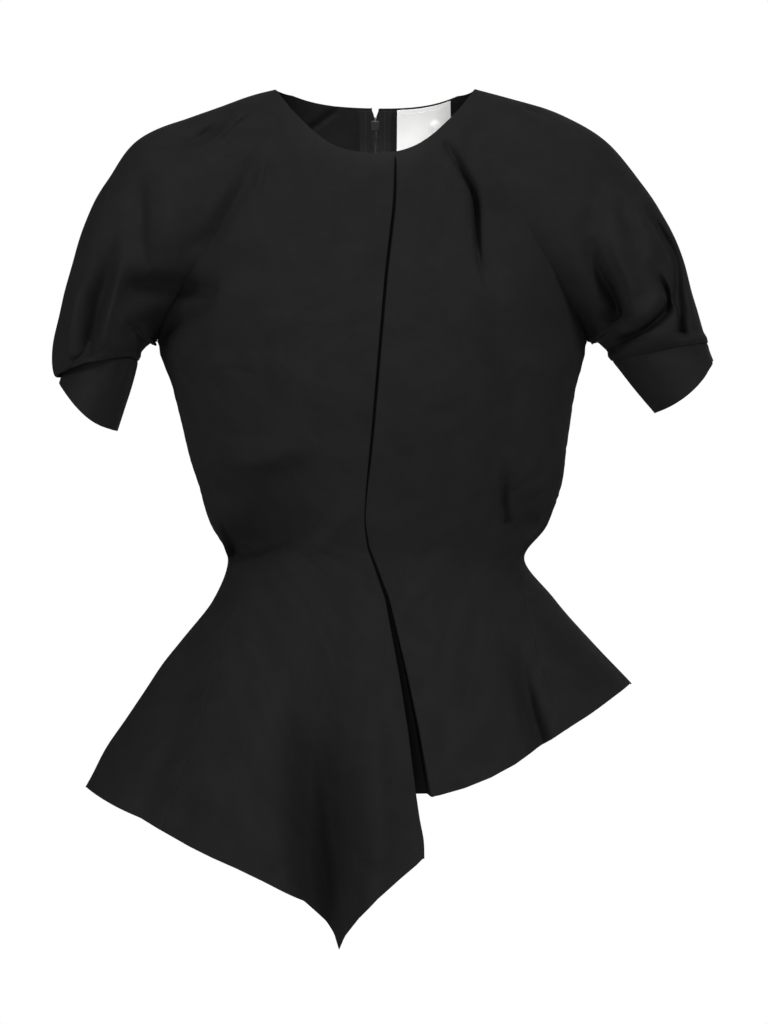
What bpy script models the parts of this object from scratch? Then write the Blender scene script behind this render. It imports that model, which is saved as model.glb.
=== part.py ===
"""Short-sleeved linen blouse with a flared, asymmetric peplum, filled out as on a wearer.

Units are metres, +Z up. The front faces -Y and the wearer's right is at -X. The origin is the
centre of the neck base, midway between the two shoulder points of the neckline. Tables are in
millimetres and are turned into metres where the points are placed.
"""
import math

import bmesh
import bpy
import numpy as np
from mathutils import Matrix, Vector

MM = 0.001

# Driving dimensions
CLOTH = 1.3
CUFF_CLOTH = 1.5
TAPE_CLOTH = 1.0
LABEL_CLOTH = 1.0
SEAM_HALF_GAP = 0.2
STEEPEST_SLANT = 0.35
TAPE_WIDTH = 13.0
TAPE_GAP = 0.35
STITCH_LINE = 1.5
LABEL_LEFT = 20.0
LABEL_RIGHT = 69.0
LABEL_GAP = 0.9
UNDERLAY_REACH = 12.0
UNDERLAY_GAP = 0.9
SLIDER_Z = -17.0
PLATE_HALF_WIDTH = 3.8
PLATE_LOW = -5.5
PLATE_HIGH = 5.0
PLATE_OUT = -3.1
PLATE_THICK = 2.0
BRIDGE_HALF_WIDTH = 0.6
BRIDGE_HALF_HEIGHT = 2.5
BRIDGE_OUT = 4.4
EYE_LOW = 1.4
EYE_HIGH = 3.5
EYE_HALF_HEIGHT = 1.6
HINGE_OUT = 2.45
PULL_LENGTH = 22.0
PULL_HALF_WIDTH = 2.7
PULL_HALF_THICK = 0.45
PULL_HOLE_HALF_WIDTH = 1.5
PULL_HOLE_LENGTH = 4.2

# Levels and rows: the body's tables count levels from the neckline down, the panels count rows
UNDERARM_LEVEL = 6
WAIST_LEVEL = 11
CUFF_TOP_LEVEL = 12
FOLDS_END_LEVEL = 9.2
YOKE_STEPS = 9
BODICE_STEPS = 6
PEPLUM_STEPS = 9
UNDERARM_ROW = YOKE_STEPS
ZIP_START_ROW = 0.35
ZIP_END_ROW = 17
LABEL_START_ROW = 0.12
LABEL_END_ROW = 2.3
LABEL_ROWS = 5
LABEL_COLUMNS = 6
SLEEVE_ARC_STEPS = 22
SLEEVE_ROW_STEPS = 11
CUFF_STEPS = 3
EDGE_SAMPLES = 191
HEM_SAMPLES = 321
HAIR = 1e-7

# Where the columns of each panel run, as shares of the way from its first edge to its last
RIGHT_FRONT_SHARES = np.array([
    0, 0.06, 0.14, 0.22, 0.30, 0.38, 0.46, 0.54, 0.62, 0.70, 0.77, 0.84, 0.92, 1.0,
])
LEFT_FRONT_SHARES = np.array([
    0, 0.09, 0.18, 0.27, 0.36, 0.45, 0.54, 0.63, 0.72, 0.80, 0.88, 0.94, 1.0,
])
BACK_SHARES = np.array([0, 0.1, 0.2, 0.3, 0.4, 0.5, 0.6, 0.7, 0.8, 0.93, 1.0])
FLANK_SHARE = 0.3
TAPE_SHARES = np.array([0.08, 0.5, 0.9])

# The body, a row for each level from the neckline down. Up to the underarm the sides are the
# raglan seams; below it they are the flanks. Columns: half widths at wearer's right and left,
# how far the seam lies from the middle plane, its height, its extra height at the back, the
# front and back middles (distance and height), and the headings at the sides in degrees
# (0 runs across, 90 runs straight forward or back).
BODY_COLUMNS = (
    "right", "left", "seam_y", "side_z", "back_rise",
    "front_y", "front_z", "back_y", "back_z", "front_heading", "back_heading",
)
BODY_ROWS = np.array([
    (75, 75, 37, -13, 18, 72, -55, 58, -6.5, 42, 40),
    (88, 87, 58, -35, 13, 80, -78, 84, -32, 30, 28),
    (101, 99, 75, -58, 8, 89, -104, 101, -60, 20, 18),
    (121, 118, 83, -93, 4, 98, -134, 110, -94, 12, 12),
    (145, 141, 80, -132, 1, 108, -166, 114, -132, 26, 26),
    (172, 167, 56, -175, 0, 116, -199, 115, -176, 55, 55),
    (195, 190, 0, -219, 0, 121, -233, 114, -221, 86, 86),
    (180, 180.5, 0, -262, 0, 124, -267, 110, -263, 90, 90),
    (168, 173, 0, -305, 0, 119, -306, 104, -305, 90, 90),
    (159, 166, 0, -345, 0, 110, -345, 96, -345, 90, 90),
    (149, 153.5, 0, -382, 0, 101, -382, 88, -382, 90, 90),
    (133, 132, 0, -414, 0, 96, -414, 84, -414, 90, 90),
    (146, 161, 0, -450, 0, 104, -450, 95, -450, 84, 84),
    (176, 197.5, 0, -486, 0, 117, -486, 112, -486, 78, 78),
    (201, 229.5, 0, -522, 0, 130, -522, 127, -522, 76, 76),
    (224, 258, 0, -560, 0, 143, -560, 138, -560, 76, 76),
    (248, 286, 0, -600, 0, 154, -600, 147, -600, 76, 76),
    (278, 315, 0, -650, 0, 165, -650, 155, -650, 76, 76),
    (305, 342, 0, -700, 0, 173, -700, 161, -700, 76, 76),
    (335, 370, 0, -764, 0, 180, -764, 167, -764, 76, 76),
], dtype=float)

# Where each side seam runs from the ribs down, as a share of the quarter turn from the flank to
# the front middle, a value for each level of the body.
SIDE_SEAM_RIGHT = np.array([0] * 10 + [0.04, 0.15, 0.31, 0.41, 0.45, 0.47, 0.48, 0.49, 0.49, 0.49])
SIDE_SEAM_LEFT = np.array([0] * 10 + [0.05, 0.19, 0.38, 0.46, 0.50, 0.52, 0.53, 0.54, 0.54, 0.54])

# The sleeves, a row for each level, shared with the body down to the underarm; then rings down
# the puff, which hangs over the cuff and turns back up to the cuff's top edge. Columns: the
# outermost point, the seam or underarm point, half the depth, and half the arc in degrees.
SLEEVE_COLUMNS = ("outer_x", "outer_z", "inner_x", "inner_z", "half_depth", "half_arc")
SLEEVE_RIGHT = np.array([
    (89.5, 8, 75, -13, 42.7, 60),
    (125, -3.6, 88, -35, 63.5, 66),
    (168, -18, 101, -58, 77.6, 75),
    (213, -39.4, 121, -93, 83, 90),
    (241, -74.5, 145, -132, 84, 108),
    (258, -110, 172, -175, 83, 138),
    (270, -148, 195, -219, 76, 180),
    (279, -181, 199, -221.5, 75, 180),
    (286.5, -213, 202.5, -224, 73, 180),
    (288, -237, 205.5, -227, 68, 180),
    (285, -250, 208, -230, 61, 180),
    (280.5, -239, 210, -233, 56, 180),
    (271, -213, 211.5, -236, 52, 180),
], dtype=float)
SLEEVE_LEFT = np.array([
    (89.5, 7, 75, -13, 42.7, 60),
    (122.6, -3.6, 87, -35, 63.5, 66),
    (165.6, -18, 99, -58, 77.6, 75),
    (208, -41, 118, -93, 83, 90),
    (240, -79.5, 141, -132, 84, 108),
    (260, -113, 167, -175, 83, 138),
    (275, -149, 190, -219, 76, 180),
    (283, -174, 198, -221.5, 76, 180),
    (289, -191, 201, -224, 75, 180),
    (293, -203, 204, -227, 72, 180),
    (295.5, -211, 206.5, -230, 67, 180),
    (297, -216, 209, -233, 61, 180),
    (298, -220, 211.5, -236, 55, 180),
], dtype=float)

# The cuffs, a row for each ring from the top edge down. Columns: the outermost point, the
# underarm point, half the depth, how far the ring bows down between the two, and how much of
# that bow lies nearer the underarm.
CUFF_COLUMNS = ("outer_x", "outer_z", "inner_x", "inner_z", "half_depth", "bow", "lean")
CUFF_RIGHT = np.array([
    (271, -213, 211.5, -236, 52, 0, 0),
    (276, -234, 219, -265, 53, 2.5, 0.35),
    (282, -256, 230, -299, 53, 7, 0.35),
])
CUFF_LEFT = np.array([
    (298, -220, 211.5, -236, 55, 0, 0),
    (299.5, -227, 230, -260, 53.5, 2.5, 0),
    (303, -236, 250.6, -283, 52, 6.5, 0),
])
# The way each cuff runs down, across and up, and how far its top edge is let in under the sleeve
CUFF_DOWN = (0.45, 0, -0.9)
CUFF_TOP_DROP = 0.3
CUFF_TOP_INSET = 0.5

# The front opening, a row for each height. Columns: the height, the folded edge's place
# across, the slot's width, the slot's depth.
OPENING_COLUMNS = ("height", "edge", "width", "depth")
OPENING = np.array([
    (-40, 18.2, 0.5, 4.5),
    (-64, 17.6, 0.6, 4.5),
    (-84, 16.8, 1.8, 6.0),
    (-105, 15.7, 2.2, 8.5),
    (-165, 8.8, 2.4, 10.0),
    (-300, -2.6, 2.2, 10.0),
    (-326, -5.2, 2.0, 9.0),
    (-354, -7.8, 1.4, 8.0),
    (-380, -8.8, 0.9, 7.0),
    (-402, -6.5, 1.2, 8.0),
    (-448, 9.5, 3.5, 15.0),
    (-515, 21.7, 7.0, 28.0),
    (-560, 29.0, 9.5, 36.0),
    (-617, 36.2, 12.5, 44.0),
    (-622, 37.0, 12.7, 40.0),
    (-636, 39.0, 13.0, 27.0),
    (-652, 42.3, 13.0, 22.0),
    (-660, 42.8, 13.0, 22.0),
    (-700, 43.0, 13.0, 22.0),
])

# The hem as seen from the front (place across, height); two short legs meet in the long point.
HEM_RIGHT = np.array([
    (-262, -616), (-257, -618), (-230, -629), (-206, -638), (-183, -649), (-161, -660),
    (-139, -670), (-117, -679), (-95, -689), (-73, -700), (-61, -706), (-52, -715),
    (-43, -724), (-36, -735), (-31.7, -748), (-27, -737), (-14, -720), (3, -703),
    (22, -686), (35, -675), (42, -669), (60, -666),
])
HEM_TIP_ROW = 14
HEM_LEFT = np.array([
    (0, -620), (35, -619), (56, -615), (78, -609), (100, -601), (121, -590), (144, -574),
    (166, -561), (189, -548), (213, -533), (229, -524), (240, -520),
])
# The hem round the back, from the flank to the middle (share of the quarter turn, height).
HEM_BACK_RIGHT = np.array([(0, -618), (0.3, -611), (0.6, -593), (1, -573)])
HEM_BACK_LEFT = np.array([(0, -524), (0.3, -529), (0.6, -551), (1, -573)])

# How far the backs stand apart along the zip: a height and half the gap in each row. They part
# at the very top for the slider.
ZIP_GAP = np.array([(0, 1.7), (-20, 1.7), (-34, 0.3), (-1000, 0.3)])

# The largest folds. Columns: name, side (-1 front, 1 back), width, depth where it starts,
# depth where it ends (outward is positive), and its route as places across and heights.
FOLDS = (
    ("flap valley", -1, 24, 0, -17, ((-46, -470), (-44, -560), (-37, -700), (-33, -760))),
    ("flap ridge", -1, 17, 0, 9, ((-4, -470), (6, -560), (6, -640), (-6, -720))),
    ("flap side ridge", -1, 30, 0, 7, ((-96, -480), (-112, -600), (-118, -690))),
    ("right under-bust hollow", -1, 26, -11, -5, ((-142, -362), (-112, -366), (-72, -352))),
    ("left under-bust hollow", -1, 18, -8, -5, ((132, -366), (112, -378))),
    ("left waist dart", -1, 11, 0, -5, ((113, -318), (116, -350), (120, -388))),
    ("left peplum fold", -1, 16, 0, -11, ((122, -468), (133, -520), (150, -575))),
    ("left peplum ridge", -1, 20, 0, 6, ((88, -470), (96, -540), (104, -610))),
    ("left neck tuck", -1, 9, -5, -1, ((64, -52), (76, -74), (87, -100), (89, -146))),
    ("right sleeve fold", -1, 12, -1, -10, ((-226, -98), (-238, -168), (-249, -205), (-258, -238))),
    ("right underarm fold", -1, 12, -10, -7, ((-210, -174), (-180, -176), (-150, -174))),
    ("right underarm drag", -1, 10, -7, -4, ((-209, -212), (-180, -203), (-156, -190))),
    ("right shoulder hollow", -1, 13, -6, -4, ((-162, -34), (-134, -40))),
    ("left armpit fold", -1, 11, -3, -13, ((188, -118), (194, -158), (206, -180), (209, -200))),
    ("left sleeve swag", -1, 9, -3, -9, ((247, -156), (265, -182), (246, -205), (216, -224))),
    ("left sleeve outer fold", -1, 9, -2, -8, ((246, -112), (268, -162), (276, -200), (275, -228))),
    ("right sleeve back fold", 1, 13, -2, -9, ((-226, -110), (-240, -170), (-254, -236))),
    ("left sleeve back fold", 1, 12, -2, -9, ((232, -110), (256, -170), (262, -218))),
    ("right underarm back", 1, 12, -8, -4, ((-206, -180), (-160, -184))),
    ("left underarm back", 1, 12, -8, -4, ((203, -182), (158, -188))),
    ("right back flute", 1, 26, 0, -14, ((-74, -455), (-92, -530), (-112, -600))),
    ("left back flute", 1, 26, 0, -14, ((76, -455), (98, -520), (120, -570))),
    ("back middle flute", 1, 22, 0, 6, ((0, -450), (0, -580))),
)


def smooth(values, at):
    """The values at fractional rows, on a smooth curve through every row."""
    last = len(values) - 1
    at = np.clip(at, 0, last)
    low = np.minimum(np.floor(at).astype(int), last - 1)
    part = at - low
    before = values[np.maximum(low - 1, 0)]
    here = values[low]
    there = values[low + 1]
    after = values[np.minimum(low + 2, last)]
    if values.ndim > 1:
        part = part[..., None]
    columns = (1,) * (values.ndim - 1)
    leave = (there - before) * np.where(low > 0, 0.5, 1.0).reshape(low.shape + columns)
    reach = (after - here) * np.where(low + 2 <= last, 0.5, 1.0).reshape(low.shape + columns)
    square = part * part
    cube = square * part
    return (
        (2 * cube - 3 * square + 1) * here
        + (cube - 2 * square + part) * leave
        + (3 * square - 2 * cube) * there
        + (cube - square) * reach
    )


def table(columns, rows, at):
    """Every named column of a table at fractional rows."""
    values = smooth(rows, np.asarray(at, dtype=float))
    return {name: values[..., i] for i, name in enumerate(columns)}


def body_base(turn, level):
    """A point of the plain body form. A turn of 0 is the wearer's right flank or raglan seam,
    1 the front middle, 2 the left flank, 3 the back middle, 4 the right flank again."""
    turn, level = np.broadcast_arrays(np.asarray(turn, float), np.asarray(level, float))
    row = table(BODY_COLUMNS, BODY_ROWS, level)
    quarter = np.floor(turn).astype(int) % 4
    share = turn - np.floor(turn)
    share = np.where((quarter == 1) | (quarter == 3), 1 - share, share)
    front = quarter < 2
    at_right = (quarter == 0) | (quarter == 3)
    wide = np.where(at_right, row["right"], row["left"])
    seam_y = np.maximum(row["seam_y"], 0)
    seam_y = np.where(level >= UNDERARM_LEVEL, 0, seam_y)
    middle_y = np.where(front, row["front_y"], row["back_y"])
    middle_z = np.where(front, row["front_z"], row["back_z"])
    side_z = row["side_z"] + np.where(front, 0, np.maximum(row["back_rise"], 0))
    heading = np.radians(np.where(front, row["front_heading"], row["back_heading"]))
    across = np.cos(heading)
    along = np.sin(heading)
    leave = 1.1 * wide * across + 1.66 * (middle_y - seam_y) * along
    arrive = wide * (1.1 + 0.56 * along)
    square = share * share
    cube = square * share
    start = 2 * cube - 3 * square + 1
    leaving = cube - 2 * square + share
    end = 3 * square - 2 * cube
    arriving = cube - square
    x = -wide * start + leave * across * leaving + arrive * arriving
    y = -(seam_y * start + leave * along * leaving + middle_y * end)
    z = side_z + (middle_z - side_z) * (1 - (1 - share) ** 2)
    return np.stack([np.where(at_right, x, -x), np.where(front, y, -y), z], axis=-1)


def sleeve_base(rows, side, arc, level):
    """A point of the plain sleeve form. An arc of 0 is its outer ridge, -1 its front seam or the
    underarm, 1 its back seam or the underarm; the side is -1 for the wearer's right."""
    arc, level = np.broadcast_arrays(np.asarray(arc, float), np.asarray(level, float))
    row = table(SLEEVE_COLUMNS, rows, level)
    half_arc = np.radians(np.where(level >= UNDERARM_LEVEL, 180, np.minimum(row["half_arc"], 180)))
    body = table(BODY_COLUMNS, BODY_ROWS, level)
    above = level < UNDERARM_LEVEL
    inner_x = np.where(above, body["right" if side < 0 else "left"], row["inner_x"])
    inner_z = np.where(above, body["side_z"], row["inner_z"])
    out_x = row["outer_x"] - inner_x
    out_z = row["outer_z"] - inner_z
    scale = (np.cos(arc * half_arc) - np.cos(half_arc)) / (1 - np.cos(half_arc))
    seam_y = np.where(above, np.maximum(body["seam_y"], 0), 0)
    swell = row["half_depth"] * np.sin(half_arc)
    depth = row["half_depth"] * np.sin(arc * half_arc) + (seam_y - swell) * arc * np.abs(arc) ** 3
    rise = np.where(above, np.maximum(body["back_rise"], 0), 0)
    rise = rise * np.clip(arc, 0, 1) ** 2
    x = inner_x + out_x * scale
    z = inner_z + out_z * scale + rise
    return np.stack([side * x, depth, z], axis=-1)


def route_distance(x, z, route):
    """The distance from places on the front view to a route, and the share along it."""
    best = np.full(x.shape, np.inf)
    share = np.zeros(x.shape)
    points = np.array(route, dtype=float)
    steps = np.linalg.norm(np.diff(points, axis=0), axis=1)
    starts = np.concatenate([[0], np.cumsum(steps)])
    for i in range(len(steps)):
        ax, az = points[i]
        dx, dz = points[i + 1] - points[i]
        along = np.clip(((x - ax) * dx + (z - az) * dz) / steps[i] ** 2, 0, 1)
        away = np.hypot(x - ax - along * dx, z - az - along * dz)
        nearer = away < best
        best = np.where(nearer, away, best)
        share = np.where(nearer, (starts[i] + along * steps[i]) / starts[-1], share)
    return best, share


def fold_height(points, normals):
    """How far the folds move each point out along its normal."""
    height = np.zeros(points.shape[:-1])
    for name, side, width, start, end, route in FOLDS:
        away, share = route_distance(points[..., 0], points[..., 2], route)
        facing = np.clip(0.25 + 1.6 * side * normals[..., 1], 0, 1)
        height += facing * (start + (end - start) * share) * np.exp(-((away / width) ** 2))
    return height


def surface_normals(place, first, second, step_first, step_second):
    """Outward normals of a surface given as a function of two parameters."""
    along = place(first + step_first, second) - place(first - step_first, second)
    down = place(first, second + step_second) - place(first, second - step_second)
    normals = np.cross(down, along)
    return normals / np.maximum(np.linalg.norm(normals, axis=-1, keepdims=True), 1e-9)


def off_seam(turn, level, margin):
    """The turn, kept off the raglan seams above the underarm, where front and back part."""
    turn = np.asarray(turn, float)
    half = np.where(np.mod(turn, 4) < 2, 0.0, 2.0) + 4 * np.floor(turn / 4)
    kept = np.clip(turn, half + margin, half + 2 - margin)
    return np.where(np.asarray(level) < UNDERARM_LEVEL + 0.1, kept, turn)


def body_point(turn, level):
    """A point of the body with its folds."""
    turn, level = np.broadcast_arrays(np.asarray(turn, float), np.asarray(level, float))
    level = np.clip(level, 0, len(BODY_ROWS) - 1)
    inside = np.clip(level, 0.02, len(BODY_ROWS) - 1.02)
    base = body_base(turn, level)
    normals = surface_normals(body_base, off_seam(turn, inside, 0.011), inside, 0.01, 0.02)
    return base + fold_height(base, normals)[..., None] * normals


def sleeve_point(rows, side, arc, level):
    """A point of a sleeve with its folds."""
    def plain(a, b):
        return sleeve_base(rows, side, a, b)

    arc, level = np.broadcast_arrays(np.asarray(arc, float), np.asarray(level, float))
    last = len(rows) - 1
    level = np.clip(level, 0, last)
    base = plain(arc, level)
    inside = np.clip(level, 0.02, last - 0.02)
    normals = surface_normals(plain, np.clip(arc, -0.99, 0.99), inside, 0.01, 0.02) * side
    fade = np.clip((FOLDS_END_LEVEL - level) / 1.5, 0, 1)
    return base + (fold_height(base, normals) * fade)[..., None] * normals


def grid_normals(points, closed_from=None):
    """Outward normals at a grid's points, the mean of the faces round each point."""
    across = points[:, 1:] - points[:, :-1]
    down = points[1:] - points[:-1]
    faces = np.cross(down[:, :-1] + down[:, 1:], across[:-1] + across[1:])
    faces = faces / np.maximum(np.linalg.norm(faces, axis=-1, keepdims=True), 1e-9)
    normals = np.zeros(points.shape)
    normals[:-1, :-1] += faces
    normals[:-1, 1:] += faces
    normals[1:, :-1] += faces
    normals[1:, 1:] += faces
    if closed_from is not None:
        both = normals[closed_from:, 0] + normals[closed_from:, -1]
        normals[closed_from:, 0] = both
        normals[closed_from:, -1] = both
    return normals / np.maximum(np.linalg.norm(normals, axis=-1, keepdims=True), 1e-9)


def body_normals(turn, level):
    """Outward normals of the folded body, the same for both pieces at a seam."""
    inside = np.clip(level, 0.03, len(BODY_ROWS) - 1.03)
    return surface_normals(body_point, off_seam(turn, inside, 0.013), inside, 0.012, 0.03)


def edge_normals(normals, column, turns, levels, first_row=0):
    """Gives one edge of a panel, from a row down, the normals it shares with the next piece."""
    level = levels[first_row:, column]
    level = np.maximum(level, UNDERARM_LEVEL + 0.2) if first_row > 0 else level
    normals[first_row:, column] = body_normals(turns[first_row:, column], level)


def opening_value(column, z):
    """A column of the front opening's table at each height."""
    return np.interp(-z, -OPENING[:, 0], OPENING[:, OPENING_COLUMNS.index(column)])


def opening_turn(level, extra):
    """The turn at which the front's folded edge lies at each level, or its slot's far side."""
    turns = np.linspace(0.5, 1.6, 67)
    found = np.empty(level.shape)
    for i, row in np.ndenumerate(level):
        points = body_base(turns, np.full(turns.shape, row))
        edge = opening_value("edge", points[:, 2])
        width = opening_value("width", points[:, 2])
        found[i] = np.interp(0, points[:, 0] - edge - extra * width, turns)
    return found


def hem_heights(points, turn):
    """The height of each part of the hem at every point: front right, left, back left, right."""
    share = np.mod(turn, 4)
    right = np.interp(points[..., 0], HEM_RIGHT[:, 0], HEM_RIGHT[:, 1])
    left = np.interp(points[..., 0], HEM_LEFT[:, 0], HEM_LEFT[:, 1])
    back_left = np.interp(share - 2, HEM_BACK_LEFT[:, 0], HEM_BACK_LEFT[:, 1])
    back_right = np.interp(4 - share, HEM_BACK_RIGHT[:, 0], HEM_BACK_RIGHT[:, 1])
    return right, left, back_left, back_right


def hem_level(turn_at, share, panel):
    """The level at which a panel's column meets the hem."""
    levels = np.linspace(WAIST_LEVEL + 1, len(BODY_ROWS) - 1, HEM_SAMPLES)
    turns = turn_at(levels, share)
    points = body_base(turns, levels)
    right, left, back_left, back_right = hem_heights(points, turns)
    wrapped = np.mod(turns, 4) < 2
    if panel == "front_right":
        hem = right
    elif panel == "front_left":
        hem = left
    elif panel == "back_right":
        hem = np.where(wrapped, right, back_right)
    else:
        hem = np.where(wrapped, left, back_left)
    below = points[:, 2] - hem
    first = int(np.argmax(below < 0))
    gap = below[first - 1] - below[first]
    return levels[first - 1] + (levels[first] - levels[first - 1]) * below[first - 1] / gap


def shell(name, outer, thickness, material, closed_from=None, normals=None):
    """A cloth piece as one body: an outer face, an inner face and the edge between them."""
    if normals is None:
        normals = grid_normals(outer, closed_from)
    inner = outer - thickness * normals
    rows, columns = outer.shape[:2]
    index = np.arange(rows * columns).reshape(rows, columns)
    if closed_from is not None:
        index[closed_from:, -1] = index[closed_from:, 0]
    used = np.unique(index)
    number = np.full(rows * columns, -1)
    number[used] = np.arange(len(used))
    index = number[index]
    points = np.concatenate([outer.reshape(-1, 3)[used], inner.reshape(-1, 3)[used]]) * MM
    faces = []
    for i in range(rows - 1):
        for j in range(columns - 1):
            a, b, c, d = index[i, j], index[i + 1, j], index[i + 1, j + 1], index[i, j + 1]
            first = np.linalg.norm(outer[i, j] - outer[i + 1, j + 1])
            second = np.linalg.norm(outer[i + 1, j] - outer[i, j + 1])
            faces += [(a, b, c), (a, c, d)] if first < second else [(a, b, d), (b, c, d)]
    edges = {}
    for face in faces:
        for a, b in zip(face, face[1:] + face[:1]):
            edges[(a, b)] = True
    rim = [(a, b) for a, b in edges if (b, a) not in edges]
    count = len(used)
    faces += [tuple(v + count for v in reversed(face)) for face in faces]
    faces += [(b, a, a + count, b + count) for a, b in rim]
    mesh = bpy.data.meshes.new(name)
    mesh.from_pydata([tuple(p) for p in points], [], [tuple(int(v) for v in f) for f in faces])
    mesh.validate()
    work = bmesh.new()
    work.from_mesh(mesh)
    bmesh.ops.recalc_face_normals(work, faces=work.faces)
    work.to_mesh(mesh)
    work.free()
    mesh.shade_smooth()
    mesh.set_sharp_from_angle(angle=math.radians(50))
    piece = bpy.data.objects.new(name, mesh)
    mesh.materials.append(material)
    blouse.objects.link(piece)
    return piece


def material(name, colour, roughness, metallic):
    """A plain material in a part's colour."""
    made = bpy.data.materials.new(name)
    made.use_nodes = True
    shader = made.node_tree.nodes["Principled BSDF"]
    shader.inputs["Base Color"].default_value = (*colour, 1)
    shader.inputs["Roughness"].default_value = roughness
    shader.inputs["Metallic"].default_value = metallic
    return made


def panel_levels():
    """The levels of a panel's rows above the waist, and the shares of its rows below it."""
    yoke = np.linspace(0, UNDERARM_LEVEL, YOKE_STEPS + 1)
    bodice = np.linspace(UNDERARM_LEVEL, WAIST_LEVEL, BODICE_STEPS + 1)[1:]
    return np.concatenate([yoke, bodice]), np.linspace(0, 1, PEPLUM_STEPS + 1)[1:]


def evenly(start, end):
    """Columns at their own shares of the way between two edges given as functions of level."""
    def turn_at(level, share):
        first = start(level)
        return first + (end(level) - first) * share

    return turn_at


def panel_grid(turn_at, shares, panel):
    """The turns and levels of a panel's points; a function gives the turn of each column."""
    upper, lower = panel_levels()
    turns = []
    levels = []
    for share in shares:
        hem = hem_level(turn_at, share, panel)
        column = np.concatenate([upper, WAIST_LEVEL + (hem - WAIST_LEVEL) * lower])
        levels.append(column)
        turns.append(turn_at(column, share))
    return np.stack(turns, axis=1), np.stack(levels, axis=1)


def split_seam(points, inward, side):
    """An edge of a body panel moved off its seams: across, further where the seam runs at a
    slant, and off the sleeve above the underarm."""
    away = inward - points
    away[:, 2] *= 0.2
    away = away / np.maximum(np.linalg.norm(away, axis=-1, keepdims=True), 1e-9)
    along = np.gradient(points, axis=0)
    along = along / np.maximum(np.linalg.norm(along, axis=-1, keepdims=True), 1e-9)
    slant = np.linalg.norm(np.cross(away, along), axis=-1, keepdims=True)
    moved = points + away / np.maximum(slant, STEEPEST_SLANT) * SEAM_HALF_GAP
    moved[:, 0] -= np.where(np.arange(len(points)) <= UNDERARM_ROW, side * SEAM_HALF_GAP, 0)
    return moved


def seam_share(shares, level):
    """How far in front of the flank a side seam runs at each level, as a share of the quarter."""
    return np.maximum(smooth(shares, np.asarray(level, float)), 0)


def seam_right(level):
    return seam_share(SIDE_SEAM_RIGHT, level)


def seam_left(level):
    return 2 - seam_share(SIDE_SEAM_LEFT, level)


def front_seam_left(level):
    return np.minimum(seam_left(level), 2 - HAIR)


def folded_edge(level):
    return np.interp(level, EDGE_LEVELS, EDGE_TURN)


def slot_edge(level):
    return np.interp(level, EDGE_LEVELS, SLOT_TURN)


def back_seam_right(level):
    turn = 4.0 + seam_right(level)
    return np.where(np.asarray(level) < UNDERARM_LEVEL + 0.1, 4.0 - HAIR, turn)


def fold_frame(turn, level):
    """The direction across and the direction into the cloth at the front opening."""
    step = 0.01
    across = body_base(turn + step, level) - body_base(turn - step, level)
    across[..., 2] = 0
    across /= np.linalg.norm(across, axis=-1, keepdims=True)
    inward = np.stack([-across[..., 1], across[..., 0], np.zeros(turn.shape)], axis=-1)
    return across, inward


def folded_strip(turn, level, profile_of):
    """The points of a strip folded behind the opening, a row for each level."""
    edge = body_point(turn, level)
    across, inward = fold_frame(turn, level)
    z = body_base(turn, level)[:, 2]
    width = opening_value("width", z)
    depth = opening_value("depth", z)
    rows = []
    for i in range(len(edge)):
        corners = profile_of(width[i], depth[i])
        rows.append([edge[i] + c[0] * across[i] + c[1] * inward[i] for c in corners])
    return np.array(rows)


def return_profile(width, depth):
    """Across and into the cloth: round the folded edge and back behind it."""
    turn = min(1.5, 0.4 * depth)
    return np.array([(-1.6, 0.0), (-0.5, 0.35), (0.0, turn), (0.0, 0.7 * depth), (0.0, depth)])


def underlay_profile(width, depth):
    """Down the slot's far side and under the fold, listed from the hidden edge outward."""
    floor = depth + UNDERLAY_GAP
    return np.array([
        (-UNDERLAY_REACH - width, floor), (-0.5 * UNDERLAY_REACH, floor), (-0.9, floor),
        (0.0, floor - 0.9), (0.0, 0.5 * floor), (0.0, min(1.5, 0.45 * floor)),
        (0.5, 0.35), (1.6, 0.0),
    ])


def share_at_tip():
    """The share of the front's columns that ends in the long point of the hem."""
    tip_x, tip_z = HEM_RIGHT[HEM_TIP_ROW]
    level = np.interp(-tip_z, -BODY_ROWS[:, 3], np.arange(len(BODY_ROWS)))
    turns = np.linspace(0, 1.5, 301)
    across = body_base(turns, np.full(turns.shape, level))[:, 0]
    turn = np.interp(tip_x, across, turns)
    return float((turn - seam_right(level)) / (folded_edge(level) - seam_right(level)))


def front_shares():
    """The columns of the wearer's right front, one of them moved onto the long point."""
    tip = share_at_tip()
    shares = RIGHT_FRONT_SHARES.copy()
    shares[int(np.argmin(np.abs(shares - tip)))] = tip
    return shares


def zip_half_gap(points):
    """Half the gap between the backs at each point's height."""
    return np.interp(-points[..., 2], -ZIP_GAP[:, 0], ZIP_GAP[:, 1])


def back_turns(seam, peplum_seam):
    """The place of a back's columns: a column follows the flank where the seam runs in front."""
    def turn_at(level, share):
        first = seam(level)
        front = seam_share(peplum_seam, level)
        flank = np.maximum(front / (1 + front), FLANK_SHARE - 0.32 * front)
        near = share * flank / FLANK_SHARE
        far = flank + (share - FLANK_SHARE) * (1 - flank) / (1 - FLANK_SHARE)
        return first + (3.0 - first) * (near if share < FLANK_SHARE else far)

    return turn_at


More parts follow.
